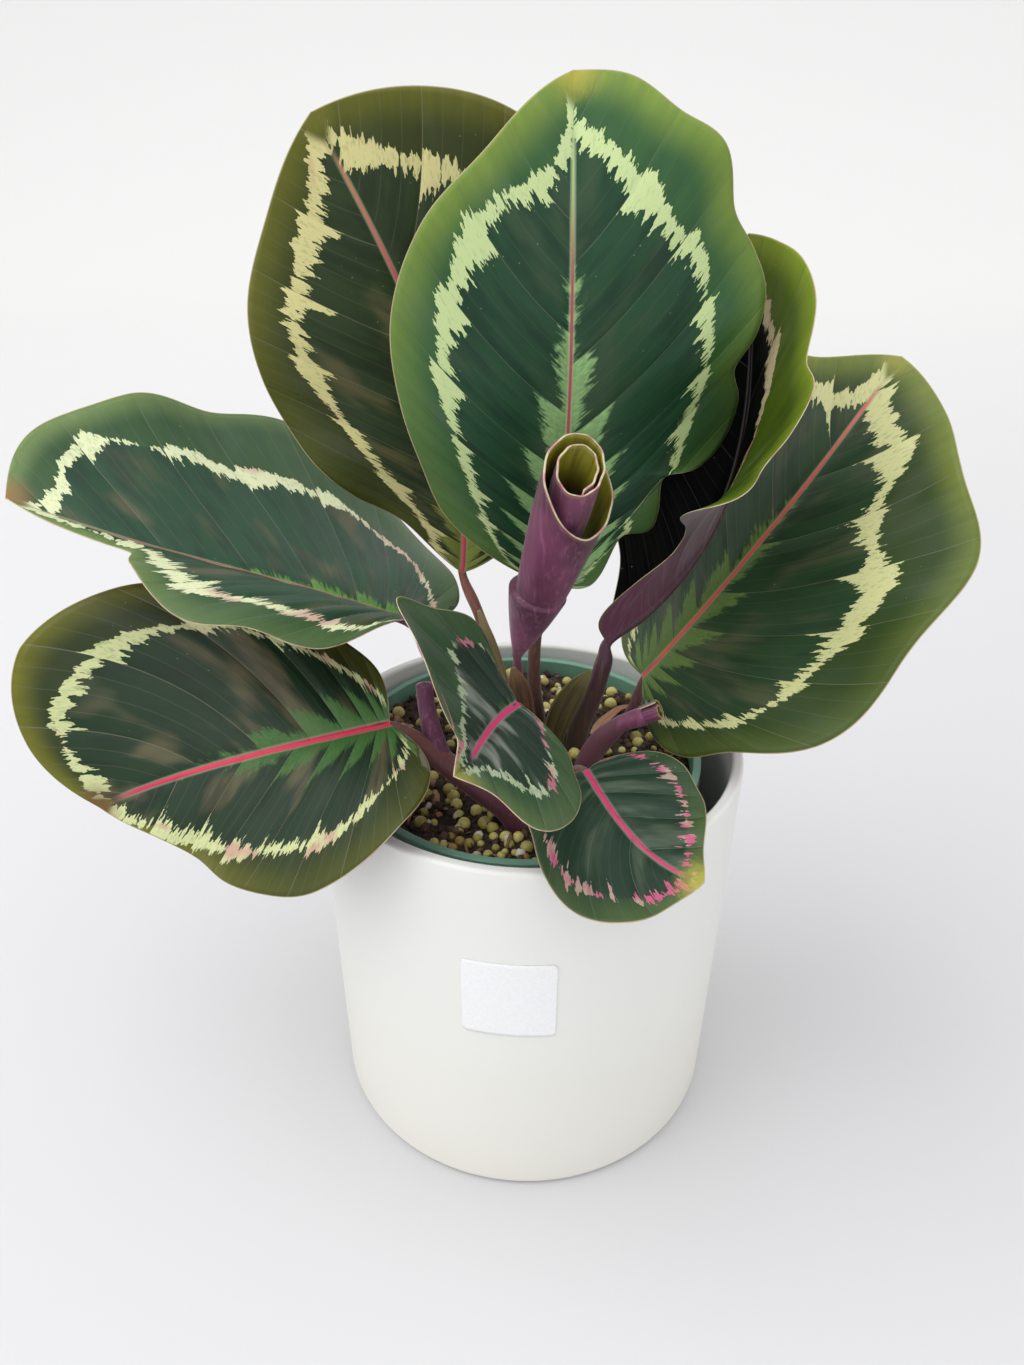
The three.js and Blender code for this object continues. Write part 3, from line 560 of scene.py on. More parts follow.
# A thin sheet from a grid of points: upper face, lower face and the wall round its edge
def sheetBody(points, normals, half):
    rows, columns = points.shape[:2]
    count = rows * columns
    upper = (points + normals * half).reshape(-1, 3)
    lower = (points - normals * half).reshape(-1, 3)
    faces = gridFaces(rows, columns)
    number = np.arange(count).reshape(rows, columns)
    rim = np.concatenate([number[0], number[1:, -1], number[-1, -2::-1], number[-2::-1, 0]])
    wall = wallFaces(rim, rim + count)
    slots = [0] * len(faces) + [1] * len(faces) + [2] * len(wall)
    return np.concatenate([upper, lower]), np.concatenate([faces, faces[:, ::-1] + count, wall]), slots


# One leaf: the blade, and the stalk with the rib that it becomes
def leafPiece(name, leaf, materials):
    points, normals, share, veinLayer, ringLayer = bladeGrid(leaf)
    half = leafShape["thickness"] / 2 * (0.4 + 0.6 * (1 - share**8))[..., None]
    blade, bladeFaces, slots = sheetBody(points, normals, half)
    rows, sides, ribPoints = (stalkShape[key] for key in ("rows", "sides", "ribPoints"))
    stalk = np.array(leaf["stalk"])
    t = np.linspace(0.97, 0.0, ribPoints)
    point, along, side, up = midribAt(leaf, t)
    thin = stalkShape["ribTip"]
    ribRadius = thin + (stalk[0, 3] * stalkShape["ribShare"] - thin) * (1 - t) ** 1.1
    rib = point - up * (ribRadius + 0.1)[:, None]
    stations = np.concatenate([rib, stalk[:, :3]])
    s = np.linspace(0, 1, rows)
    path = smoothPath(stations, s)
    below = s > (ribPoints - 1) / (len(stations) - 1)
    reachDown = np.linalg.norm(path - np.array(leaf["base"]), axis=1) * below
    knee = np.exp(-(((reachDown - stalkShape["kneeAt"]) / stalkShape["kneeSpread"]) ** 2)) * below
    radius = smoothRead(np.concatenate([ribRadius, stalk[:, 3]]), s) * (1 + stalkShape["knee"] * knee)
    tube, tubeFaces = closedTube(path, radius, sides)
    blank = np.zeros((len(tube), 3))
    downLayer = blank.copy()
    downLayer[: rows * sides, 0] = np.repeat(reachDown, sides)
    allFaces = [*bladeFaces.tolist(), *[[k + len(blade) for k in face] for face in tubeFaces]]
    layers = {
        "vein": np.concatenate([veinLayer.reshape(-1, 3)] * 2 + [blank]),
        "ring": np.concatenate([ringLayer.reshape(-1, 3)] * 2 + [downLayer]),
    }
    points = np.concatenate([blade, tube])
    slots = slots + [3] * len(tubeFaces)
    makePiece(name + "_grown", points, allFaces, materials, [name], slots, layers)


# Colours of each leaf. Heart is inside the ring, deep its darker streaks and band the colour of a painted
# sheen, soft light laid in patches along the veins; sheenClouds is how strongly that painted sheen shows.
# Field is outside the ring, edge the tint near the margin and tip the tint at the leaf's tip. The midrib
# turns from rib to ribTip and ends at ribEnd. Rosy is how much of the ring turns pink. Ring width and the
# feathers beside the midrib are in millimetres, and the feathers end at the share feathersEnd of the
# midrib. The seed shifts the patterns.
usualLook = {"ribEnd": 0.95, "gloss": 0.26}
leafLooks = {
    "leaf_centre": {
        "heart": (36, 74, 48), "deep": (17, 46, 35), "field": (56, 96, 54), "edge": (128, 152, 60),
        "band": (68, 84, 60), "ring": (204, 222, 158), "feather": (150, 190, 124), "rib": (184, 84, 88),
        "ribTip": (170, 196, 120), "ringWidth": 3.7, "rosy": 0.0, "feathers": 13, "feathersEnd": 0.9,
        "tip": (176, 168, 70), "seed": 1.3, "sheenClouds": 0.45,
    },
    "leaf_back_left": {
        "heart": (44, 62, 31), "deep": (24, 36, 18), "field": (52, 62, 18), "edge": (100, 102, 24),
        "band": (104, 100, 66), "ring": (218, 212, 148), "feather": (136, 148, 66), "rib": (206, 84, 100),
        "ribTip": (196, 120, 96), "ringWidth": 4.3, "rosy": 0.1, "feathers": 7, "feathersEnd": 0.85,
        "tip": (110, 110, 40), "seed": 4.1, "sheenClouds": 0.6,
    },
    "leaf_left_upper": {
        "heart": (30, 66, 42), "deep": (18, 44, 31), "field": (50, 80, 44), "edge": (110, 132, 74),
        "band": (92, 86, 62), "ring": (214, 220, 176), "feather": (92, 138, 58), "rib": (160, 60, 72),
        "ribTip": (140, 110, 90), "ringWidth": 3.9, "rosy": 0.25, "feathers": 5, "feathersEnd": 0.8,
        "tip": (140, 96, 60), "seed": 7.7, "sheenClouds": 0.6,
    },
    "leaf_left_lower": {
        "heart": (26, 50, 28), "deep": (14, 32, 18), "field": (42, 54, 18), "edge": (112, 112, 24),
        "band": (112, 102, 74), "ring": (200, 206, 150), "feather": (72, 116, 56), "rib": (206, 60, 84),
        "ribTip": (190, 50, 82), "ringWidth": 3.1, "rosy": 0.24, "feathers": 10, "feathersEnd": 0.9,
        "tip": (104, 70, 44), "seed": 2.9, "sheenClouds": 0.55,
    },
    "leaf_right": {
        "heart": (40, 67, 38), "deep": (24, 47, 28), "field": (46, 66, 24), "edge": (116, 130, 50),
        "band": (92, 92, 66), "ring": (208, 210, 150), "feather": (96, 126, 56), "rib": (204, 92, 82),
        "ribTip": (206, 112, 96), "ringWidth": 4.6, "rosy": 0.0, "feathers": 10, "feathersEnd": 0.9,
        "tip": (150, 150, 70), "seed": 9.2, "sheenClouds": 0.5,
    },
    # Painted shade: the folded leaf's heart, deep, band, feather and rib colours are near black for the shade
    # it lies in between its neighbours, and its gloss is kept low
    "leaf_folded": {
        "heart": (5, 9, 6), "deep": (3, 6, 4), "field": (70, 90, 22), "edge": (124, 144, 42),
        "band": (20, 20, 14), "ring": (176, 164, 128), "feather": (10, 16, 9), "rib": (36, 20, 20),
        "ribTip": (36, 20, 20), "ringWidth": 3.6, "rosy": 0.35, "feathers": 3, "feathersEnd": 0.5,
        "tip": (120, 130, 50), "seed": 5.5, "sheenClouds": 0.3, "gloss": 0.05,
    },
    "leaf_front_small": {
        "heart": (38, 56, 44), "deep": (26, 42, 34), "field": (50, 78, 50), "edge": (88, 106, 66),
        "band": (122, 130, 120), "ring": (164, 178, 144), "feather": (70, 104, 70), "rib": (196, 62, 108),
        "ribTip": (186, 80, 120), "ringWidth": 1.5, "rosy": 0.4, "feathers": 2, "feathersEnd": 0.6,
        "tip": (150, 150, 60), "seed": 3.4, "sheenClouds": 1.0, "ribEnd": 0.75,
    },
    "leaf_front_right": {
        "heart": (26, 52, 34), "deep": (16, 38, 26), "field": (32, 58, 38), "edge": (72, 92, 46),
        "band": (70, 86, 66), "ring": (176, 146, 134), "feather": (50, 82, 50), "rib": (190, 56, 98),
        "ribTip": (182, 56, 94), "ringWidth": 0.9, "rosy": 0.7, "feathers": 2, "feathersEnd": 0.6,
        "tip": (176, 172, 70), "seed": 6.6, "sheenClouds": 0.7, "ribEnd": 0.93,
    },
}


def shifted(colour, share, lift):  # a screen colour scaled and then lifted towards white
    return tone(*[share * part + lift for part in colour])


# Upper side of a leaf. Every mask is worked out along the veins, so streaks follow them. The ring is
# broad at the tip side of each pleat, where it runs in along the main vein as a tail, and narrow at the
# other side; three sizes of brush noise fray both its edges. Distances are in millimetres.
def upperSide(name, leaf, look):
    shader = Shader(name + "_upper")
    colours = {key: tone(*value) for key, value in look.items() if isinstance(value, tuple)}
    u, signed, toEdge = shader.attribute("vein")
    ringAt, across, veinLength = shader.attribute("ring")
    v = abs(signed)
    seed = look["seed"]
    gone = v * veinLength
    onRight = shader.rise(signed, -0.0001, 0.0001) * leafShape["halfTurn"]
    sector = shader.fract(u * leaf["veins"] + onRight)
    size = leafLength(leaf) / 120
    fleck = shader.noise(shader.vector(u * 260 * size, gone * 0.5, signed + seed), 1.0, 2.0, 0.6)
    fine = shader.noise(shader.vector(u * 210 * size, gone * 0.14 + seed, signed), 1.0, 2.0, 0.6)
    brush = shader.noise(shader.vector(u * 80 * size, gone * 0.08, signed + seed), 1.0, 2.0)
    strands = shader.noise(shader.vector(u * 40 * size, gone * 0.04, signed + seed), 1.0, 2.0)
    slow = shader.noise(shader.vector(u * 7 * size, gone * 0.03 + seed, signed), 1.0, 1.0)
    width = look["ringWidth"] * (1.8 * slow - 0.12) * (0.45 + 0.6 * shader.rise(u, 0.1, 0.6))
    offset = (v - ringAt) * veinLength
    flecks = (fleck - 0.5) * 6
    inner = offset + width * (0.55 + 1.6 * sector**5) + (fine - 0.5) * 8 + (brush - 0.5) * 10 + flecks
    outer = width * (0.45 + 0.8 * sector**0.8) - offset + (fine - 0.5) * 4 + (brush - 0.5) * 6 + flecks * 0.7
    t = u**3
    beforeTip = shader.rise(t, 0.955, 0.925)
    ringMask = shader.rise(inner, 0, 0.3) * shader.rise(outer, 0, 0.3)
    ringMask = ringMask * shader.rise(u, 0.05, 0.12) * beforeTip
    inside = shader.rise(outer, -0.6, 0.9) * beforeTip
    edgeShare = shader.rise(toEdge, 11, 0) * (0.3 + 0.7 * shader.rise(u, 0.4, 0.85))
    # Painted sheen: the lighter band colour in soft patches along the veins over the heart, and a lifted
    # field colour over the field
    sheenCloud = shader.noise(shader.vector(u * 14, gone * 0.03 + seed, signed), 1.0, 2.0)
    heart = shader.blend(shader.rise(sheenCloud, 0.5, 0.68) * look["sheenClouds"], colours["heart"], colours["band"])
    heart = shader.blend(shader.rise(strands, 0.42, 0.7) * 0.6, heart, colours["deep"])
    field = shader.blend(shader.rise(strands, 0.4, 0.8) * 0.5, colours["field"], colours["heart"])
    # Painted sheen over the field: a lighter copy of the field colour in soft patches
    field = shader.blend(shader.rise(sheenCloud, 0.5, 0.75) * 0.4, field, shifted(look["field"], 0.6, 50))
    field = shader.blend(edgeShare * (0.55 + 0.5 * brush), field, colours["edge"])
    base = shader.blend(inside, field, heart)
    reachOut = look["feathers"] * shader.rise(t, look["feathersEnd"], 0.05) ** 1.6 * (0.4 + 1.1 * sector)
    frayed = (fine - 0.5) * 8 + (brush - 0.5) * 7 + flecks * 0.6
    feather = shader.rise(reachOut + frayed - abs(across), 0, 2.6) * shader.rise(reachOut, 0.1, 1.0)
    base = shader.blend(feather * (0.3 + fleck), base, colours["feather"])
    lines = abs(shader.fract((u * leaf["veins"] + onRight) * 4) - 0.5)
    vein = shader.rise(abs(sector - 0.5), 0.489, 0.4985) * 0.36 + shader.rise(lines, 0.46, 0.49) * 0.16
    base = shader.blend(vein * shader.rise(v, 0.02, 0.1), base, shifted(look["band"], 0.55, 62))
    pinkNoise = shader.noise(shader.vector(u * 9, v * 3, seed), 1.0, 2.0) + shader.rise(u, 0.6, 0.1) * 0.15
    pinkFrom = 0.64 - 0.26 * look["rosy"]
    pink = shader.rise(pinkNoise, pinkFrom, pinkFrom + 0.12) * min(1.0, 2 * look["rosy"])
    ringTone = shader.blend(shader.rise(fleck, 0.5, 0.75) * 0.45, colours["ring"], colours["feather"])
    ringTone = shader.blend(pink, ringTone, tone(184, 82, 118))
    base = shader.blend(ringMask * 0.96, base, ringTone)
    ribTone = shader.blend(shader.rise(t, 0.62, 0.85), colours["rib"], colours["ribTip"])
    ending = shader.rise(t, look["ribEnd"], look["ribEnd"] - 0.1)
    fromRib = abs(across) - leaf["rib"] * (1 - 0.5 * t)
    halo = shader.rise(fromRib, 0.7, 0.1) * ending * 0.6
    base = shader.blend(halo, base, shifted(look["feather"], 0.5, 90))
    base = shader.blend(shader.rise(fromRib, 0.12, -0.1) * ending, base, ribTone)
    toTip = shader.distance(shader.place(), [c * mm for c in leaf["tip"]])
    base = shader.blend(shader.rise(toTip + fleck * 0.004, 0.011, 0.003) * 0.75, base, colours["tip"])
    dust = shader.rise(shader.spots(shader.place(), 420), 0.1, 0.05)
    dust = dust * shader.rise(shader.noise(shader.place(), 60), 0.58, 0.66)
    base = shader.blend(dust * 0.3, base, tone(190, 196, 180))
    base = shader.blend(shader.rise(toEdge, 0.35, 0.1) * 0.8, base, tone(176, 164, 120))
    cells = shader.noise(shader.place(), 2600, 1.0)
    relief = fine * 0.6 + cells * 0.35 + shader.rise(abs(sector - 0.5), 0.44, 0.5) * -0.8
    rough = 0.3 + 0.2 * slow + 0.08 * cells
    return shader.surface({
        "Base Color": base, "Roughness": rough, "Normal": shader.bump(relief, 0.00014, 0.6),
        "Specular IOR Level": look["gloss"],
    })


# Underside of a leaf: plum purple with lighter mauve streaks of painted sheen, and the veins standing out a
# little
def underSide():
    shader = Shader("leaf_under")
    u, signed, toEdge = shader.attribute("vein")
    v = abs(signed)
    streak = shader.noise(shader.vector(u * 60, v * 3, signed), 1.0, 3.0)
    slow = shader.noise(shader.place(), 28, 2.0)
    base = shader.blend(shader.rise(slow, 0.35, 0.65), tone(102, 49, 77), tone(63, 28, 50))
    # Painted sheen: lighter mauve streaks along the veins
    base = shader.blend(shader.rise(streak, 0.45, 0.75) * 0.45, base, tone(146, 97, 122))
    base = shader.blend(shader.rise(toEdge, 1.6, 0.4) * 0.6, base, tone(96, 92, 60))
    cells = shader.noise(shader.place(), 2200, 1.0)
    lines = shader.noise(shader.vector(u * 320, v * 5, signed), 1.0, 2.0)
    return shader.surface({
        "Base Color": base, "Roughness": 0.46 + 0.12 * cells,
        "Normal": shader.bump(lines * 0.6 + cells * 0.3, 0.00014, 0.6), "Sheen Weight": 0.25,
    })


def marginSkin():  # the thin cream and pink line round each blade
    shader = Shader("leaf_margin")
    u, signed, toEdge = shader.attribute("vein")
    streak = shader.noise(shader.vector(u * 30, signed, 0.0), 1.0, 2.0)
    base = shader.blend(shader.rise(streak, 0.42, 0.62), tone(206, 196, 160), tone(196, 132, 138))
    return shader.surface({"Base Color": base, "Roughness": 0.5})


# Stalk skin: streaks along the stalk, from the top colour to the low one near the soil
def stalkSkin(name, top, low, speck):
    shader = Shader(name)
    down, _, _ = shader.attribute("ring")
    x, y, z = shader.parts(shader.place())
    streak = shader.noise(shader.vector(x * 1400, y * 1400, z * 60), 1.0, 3.0)
    share = shader.rise(down, 4, 34)
    base = shader.blend(share, tone(*top), tone(*low))
    base = shader.blend(shader.rise(streak, 0.5, 0.75) * 0.55, base, tone(*speck))
    return shader.surface({
        "Base Color": base, "Roughness": 0.5, "Normal": shader.bump(streak, 0.00018, 0.7),
        "Sheen Weight": 0.15,
    })


stalkLooks = {  # top, low and streak colours
    "leaf_centre": ((96, 62, 58), (92, 60, 52), (140, 96, 84)),
    "leaf_back_left": ((134, 84, 74), (120, 74, 60), (166, 116, 92)),
    "leaf_left_upper": ((84, 46, 62), (96, 60, 58), (130, 84, 84)),
    "leaf_left_lower": ((104, 62, 50), (82, 36, 50), (128, 70, 66)),
    "leaf_right": ((100, 62, 66), (84, 42, 60), (134, 92, 84)),
    "leaf_folded": ((74, 40, 58), (76, 58, 46), (112, 92, 66)),
    "leaf_front_small": ((90, 50, 60), (88, 56, 52), (128, 88, 80)),
    "leaf_front_right": ((96, 62, 60), (90, 58, 56), (130, 92, 80)),
}

underMaterial = underSide()
marginMaterial = marginSkin()
for name, leaf in leaves.items():
    upperMaterial = upperSide(name, leaf, {**usualLook, **leafLooks[name]})
    stalkMaterial = stalkSkin(name + "_stalk", *stalkLooks[name])
    leafPiece(name, leaf, [upperMaterial, underMaterial, marginMaterial, stalkMaterial])
print("leaves:", len(leaves))


# The stump of a cut stalk, rising where the low left leaf's stalk begins
cutStalk = {
    "path": ((-29, -20, 154), (-28, -21.5, 146), (-25.5, -24.5, 137), (-23, -26, 133)),
    "radii": (2.3, 2.5, 2.9, 2.4), "rows": 40, "sides": 20, "down": 30.0,
    "skin": ((96, 40, 74), (84, 34, 62), (140, 72, 110)),
}


def cutStalkPiece():
    s = np.linspace(0, 1, cutStalk["rows"])
    path = smoothPath(cutStalk["path"], s)
    points, faces = closedTube(path, smoothRead(cutStalk["radii"], s), cutStalk["sides"])
    layers = {"ring": np.tile((cutStalk["down"], 0, 0), (len(points), 1))}
    material = stalkSkin("cut_stalk_skin", *cutStalk["skin"])
    makePiece("cut_stalk", points, faces, [material], layers=layers)


cutStalkPiece()

# Young leaves still rolled up. The sheet winds out from innerRadius to outerRadius over its turns, faster
# and faster by the power open, and stands on a closed cone. The bell widens it towards the top. Lift
# raises its rim, slant and dip lower parts of it, and curl turns the rim out.
rolls = {
    "leaf_rolled": {
        "bottom": (-4, -8, 157), "top": (9.5, -22, 212), "innerRadius": 4.6, "outerRadius": 11.2,
        "turns": 2.35, "start": -60, "open": 2.1, "solidShare": 0.4, "rootShare": 0.1, "bellPower": 2.2,
        "lift": 4, "slant": 0.75, "dip": 10, "dipTurns": 0.6, "curl": 1.0,
        "thickness": 0.55, "rows": 44, "stepsPerTurn": 100,
        "stalk": ((-3.6, -5.5, 149, 1.5), (-2, -0.5, 138, 2), (0, 6.5, 121, 2.2), (0, 8, 108, 2.2)),
    },
    "leaf_bud": {
        "bottom": (26.5, -6.5, 134.5), "top": (37, -9, 140.5), "innerRadius": 1.3, "outerRadius": 3,
        "turns": 1.4, "start": 40, "open": 1, "solidShare": 0.6, "rootShare": 0.8, "bellPower": 1.5,
        "lift": 0, "slant": 0, "dip": 0, "dipTurns": 0.5, "curl": 0.2,
        "thickness": 0.45, "rows": 20, "stepsPerTurn": 60,
        "stalk": ((22, -4.2, 128, 3.4), (17.5, -3, 119, 3.3), (15.5, -3, 108, 3)),
    },
}


rollTube = {"coneRows": 30, "stemRows": 60, "sides": 32, "keep": 6, "smooth": 7}


def rollPiece(name, roll, materials):
    bottom, top = (np.array(roll[key], float) for key in ("bottom", "top"))
    length = np.linalg.norm(top - bottom)
    along = (top - bottom) / length
    right = -unit(np.cross(along, (0, 1, 0)))
    back = -unit(np.cross(right, along))

    def bell(t):
        return 1 - (1 - roll["rootShare"]) * (1 - np.minimum(t, 1)) ** roll["bellPower"]

    share = np.linspace(0, 1, round(roll["turns"] * roll["stepsPerTurn"]))[:, None]
    angle = math.radians(roll["start"]) + 2 * np.pi * roll["turns"] * share
    spiral = roll["innerRadius"] + (roll["outerRadius"] - roll["innerRadius"]) * share ** roll["open"]
    dipStart = 1 - roll["dipTurns"] / roll["turns"]
    dip = np.clip((share - dipStart) / (0.6 - 0.6 * dipStart), 0, 1)
    dip = dip * dip * (3 - 2 * dip)
    rim = length + roll["lift"] + roll["slant"] * spiral * np.sin(angle) - roll["dip"] * dip
    foot = roll["solidShare"] * 0.8 * length
    height = foot + (rim - foot) * np.linspace(0, 1, roll["rows"])[None, :]
    flare = roll["curl"] * np.clip((height - rim + 5) / 5, 0, 1) ** 2 * np.clip((share - 0.6) / 0.4, 0, 1)
    ripple = 0.12 * np.sin(9 * angle + 0.2 * height) * (height / length)
    rooted = np.clip((height - foot) / (0.1 * length), 0, 1)
    radius = spiral * bell(height / length) + flare + ripple - 0.9 * (1 - rooted) ** 2
    points = bottom + along * height[..., None] + right * (radius * np.cos(angle))[..., None]
    points = points + back * (radius * np.sin(angle))[..., None]
    normals = gridNormals(points)
    sheet, sheetFaces, slots = sheetBody(points, normals, roll["thickness"] / 2)
    toRim = np.minimum(rim - height, (1 - share) * 2 * np.pi * roll["turns"] * spiral)
    layer = np.stack([np.broadcast_to(share, height.shape), height / length, toRim], -1).reshape(-1, 3)
    t = np.linspace(roll["solidShare"], 0, rollTube["coneRows"])
    cone = bottom + along * (t * length)[:, None]
    stalk = np.array(roll["stalk"])
    s = np.linspace(0, 1, rollTube["stemRows"])[1:]
    stem = smoothPath(np.concatenate([[bottom], stalk[:, :3]]), s)
    stemRadius = smoothRead([roll["outerRadius"] * roll["rootShare"], *stalk[:, 3]], s)
    reach = np.concatenate([roll["outerRadius"] * bell(t), stemRadius])
    smooth = rollTube["smooth"]
    evened = np.convolve(np.pad(reach, smooth // 2, mode="edge"), np.ones(smooth) / smooth, "valid")
    reach = np.where(np.arange(len(reach)) < rollTube["keep"], reach, evened)
    tube, tubeFaces = closedTube(np.concatenate([cone, stem]), reach, rollTube["sides"])
    tubeLayer = np.zeros((len(tube), 3))
    tubeLayer[:-2, 1] = np.repeat(np.concatenate([t, -s]), rollTube["sides"])
    tubeLayer[:, 2] = 9  # far from the rim
    layers = {
        "vein": np.concatenate([layer, layer, tubeLayer]),
        "ring": np.zeros((2 * len(layer) + len(tube), 3)),
    }
    faces = [*sheetFaces.tolist(), *[[k + len(sheet) for k in face] for face in tubeFaces]]
    points = np.concatenate([sheet, tube])
    makePiece(
        name + "_grown", points, faces, materials, [name], slots + [1] * len(tubeFaces), layers,
    )


# Inside of a roll: the leaf's upper side, yellow green near its rim, with painted shade darkening it to
# brown-green further down inside the roll
def rollInside():
    shader = Shader("roll_inside")
    share, height, toRim = shader.attribute("vein")
    streak = shader.noise(shader.vector(share * 60, height * 6, 0.0), 1.0, 2.0)
    # Painted shade: darker brown-green the further a point lies from the rim, deep inside the roll
    deep = shader.rise(toRim, 3, 14)
    base = shader.blend(deep, tone(122, 120, 28), tone(50, 34, 16))
    base = shader.blend(shader.rise(streak, 0.45, 0.7) * 0.5, base, tone(88, 66, 20))
    return shader.surface({"Base Color": base, "Roughness": 0.42, "Normal": shader.bump(streak, 0.0002, 0.5)})


# Outside of a roll: the purple underside, with lighter streaks of painted sheen that follow its winding
def rollOutside():
    shader = Shader("roll_outside")
    share, height, toRim = shader.attribute("vein")
    where = shader.place()
    x, y, z = shader.parts(where)
    streak = shader.noise(shader.vector(x * 900, y * 900, z * 55), 1.0, 3.0)
    slow = shader.noise(where, 60, 2.0)
    base = shader.blend(shader.rise(slow, 0.35, 0.65), tone(118, 56, 90), tone(84, 34, 62))
    # Painted sheen: lighter mauve streaks along the winding
    base = shader.blend(shader.rise(streak, 0.48, 0.75) * 0.5, base, tone(160, 98, 130))
    base = shader.blend(shader.rise(height, 0.12, -0.1) * 0.7, base, tone(96, 62, 64))
    base = shader.blend(shader.rise(toRim, 1.3, 0.3) * 0.5, base, tone(120, 96, 60))
    cells = shader.noise(where, 2400, 1.0)
    return shader.surface({
        "Base Color": base, "Roughness": 0.4 + 0.12 * cells,
        "Normal": shader.bump(streak * 0.7 + cells * 0.3, 0.00016, 0.7), "Sheen Weight": 0.2,
    })


rollMaterials = [rollInside(), rollOutside(), marginMaterial]
for name, roll in rolls.items():
    rollPiece(name, roll, rollMaterials)
print("rolled leaves:", len(rolls))

# Bracts that wrap the shoots, and one dry strip on the soil. The path is x, y, z, half width and half
# thickness. Cup is how far their edges curl forward, as a share of the width.
bractGrid = {"rows": 60, "sides": 28}
bracts = {
    "bract_boat": {
        "path": (
            (17.8, 8, 143.7, 0.6, 0.5), (14.2, 8, 138.5, 3, 1), (10, 8, 130, 4, 1.4),
            (7.2, 8, 119, 3.2, 1.4), (6.5, 8, 108, 3, 1.2),
        ),
        "face": (0, -1, 0.3), "cup": 0.3, "skin": (98, 92, 48), "stripe": (56, 40, 30), "tip": (140, 134, 80),
    },
    "bract_short": {
        "path": (
            (-5, -11.5, 155, 0.7, 0.5), (-3.6, -10, 149, 3, 0.9), (-2, -5.5, 137, 3.4, 1),
            (0, 1, 121, 2.8, 1), (0, 2.5, 108, 2.6, 1),
        ),
        "face": (0, -1, 0.3), "cup": 0.35, "skin": (112, 84, 60), "stripe": (70, 40, 40),
        "tip": (150, 120, 84),
    },
    "bract_papery": {
        "path": (
            (-16, 16.6, 159, 0.6, 0.5), (-13, 15, 150, 2, 0.7), (-9, 13.4, 136, 2.4, 0.9),
            (-5, 12.8, 121, 2.2, 0.9), (-4.5, 12.8, 108, 2, 0.9),
        ),
        "face": (0, -1, 0.3), "cup": 0.35, "skin": (150, 134, 90), "stripe": (104, 84, 60),
        "tip": (176, 160, 116),
    },
    "dry_strip": {
        "path": (
            (20, 14.5, 117, 1.2, 0.4), (22.5, 20, 117.4, 1.7, 0.4), (26, 26, 117.3, 1.6, 0.4),
            (30, 30, 118, 1.2, 0.4), (35, 31.5, 117.6, 1.4, 0.4),
        ),
        "face": (0, 0, 1), "cup": 0.25, "skin": (170, 122, 86), "stripe": (116, 74, 50),
        "tip": (190, 150, 110),
    },
}


def bractPiece(name, bract):
    table = np.array(bract["path"], float)
    rows, sides = bractGrid["rows"], bractGrid["sides"]
    s = np.linspace(0, 1, rows)
    path = smoothPath(table[:, :3], s)
    wide, thick = smoothRead(table[:, 3], s), smoothRead(table[:, 4], s)
    tangent = unit(np.gradient(path, axis=0))
    side = unit(np.cross(tangent, bract["face"]))
    up = np.cross(side, tangent)
    angle = np.linspace(0, 2 * np.pi, sides, endpoint=False)
    across = wide[:, None] * np.cos(angle)
    rise = thick[:, None] * np.sin(angle) * 0.7
    rise = rise + bract["cup"] * wide[:, None] * (np.cos(angle) ** 2 - 0.5)
    rise = rise + 0.1 * thick[:, None] * np.sin(7 * np.pi * np.cos(angle)) * (np.sin(angle) > 0)
    points = path[:, None] + side[:, None] * across[..., None] + up[:, None] * rise[..., None]
    body = gridFaces(rows, sides, around=True)[:, ::-1].tolist()
    faces = [*body, list(range(sides)), list(range((rows - 1) * sides, rows * sides))[::-1]]
    shader = Shader(name + "_skin")
    spread, reach, _ = shader.attribute("vein")
    streak = shader.noise(shader.vector(spread * 16, reach * 2, 0.5), 1.0, 2.0)
    fine = shader.noise(shader.vector(spread * 70, reach * 5, 0.5), 1.0, 2.0)
    base = shader.blend(shader.rise(streak, 0.42, 0.62), tone(*bract["skin"]), tone(*bract["stripe"]))
    base = shader.blend(shader.rise(reach, 0.35, 0.0) * 0.7, base, tone(*bract["tip"]))
    base = shader.blend(shader.rise(abs(spread), 0.8, 1.0) * 0.5, base, tone(*bract["tip"]))
    normal = shader.bump(fine, 0.0003, 0.7)
    skin = shader.surface({"Base Color": base, "Roughness": 0.55, "Normal": normal})
    layer = np.stack(np.broadcast_arrays(np.cos(angle)[None, :], s[:, None], 0.0), -1).reshape(-1, 3)
    layers = {"vein": layer}
    makePiece(name + "_grown", points.reshape(-1, 3), faces, [skin], [name], layers=layers)


for name, bract in bracts.items():
    bractPiece(name, bract)
print("bracts:", len(bracts))

# The cover pot: a plain cylinder, a little narrower at its foot
coverPot = {
    "height": 125, "rimRadius": 63.5, "baseRadius": 61.4, "wall": 3.5, "floor": 4,
    "footRound": 3, "lipRound": 1.2, "segments": 220,
}


# A closed profile of radius and height turned round the axis; it starts and ends on the axis
def latheBody(profile, segments):
    profile = np.array(profile, float)
    angle = np.linspace(0, 2 * np.pi, segments, endpoint=False)
    ring = np.stack([np.cos(angle), np.sin(angle), np.zeros(segments)], -1)
    points = profile[:, None, :1] * ring + profile[:, None, 1:] * np.array([0, 0, 1.0])
    faces = gridFaces(len(profile), segments, around=True)
    return points.reshape(-1, 3), faces


def arc(centre, radius, first, last, steps=9):  # points of a quarter round, angles in degrees
    angle = np.radians(np.linspace(first, last, steps))
    return [(centre[0] + radius * math.cos(a), centre[1] + radius * math.sin(a)) for a in angle]


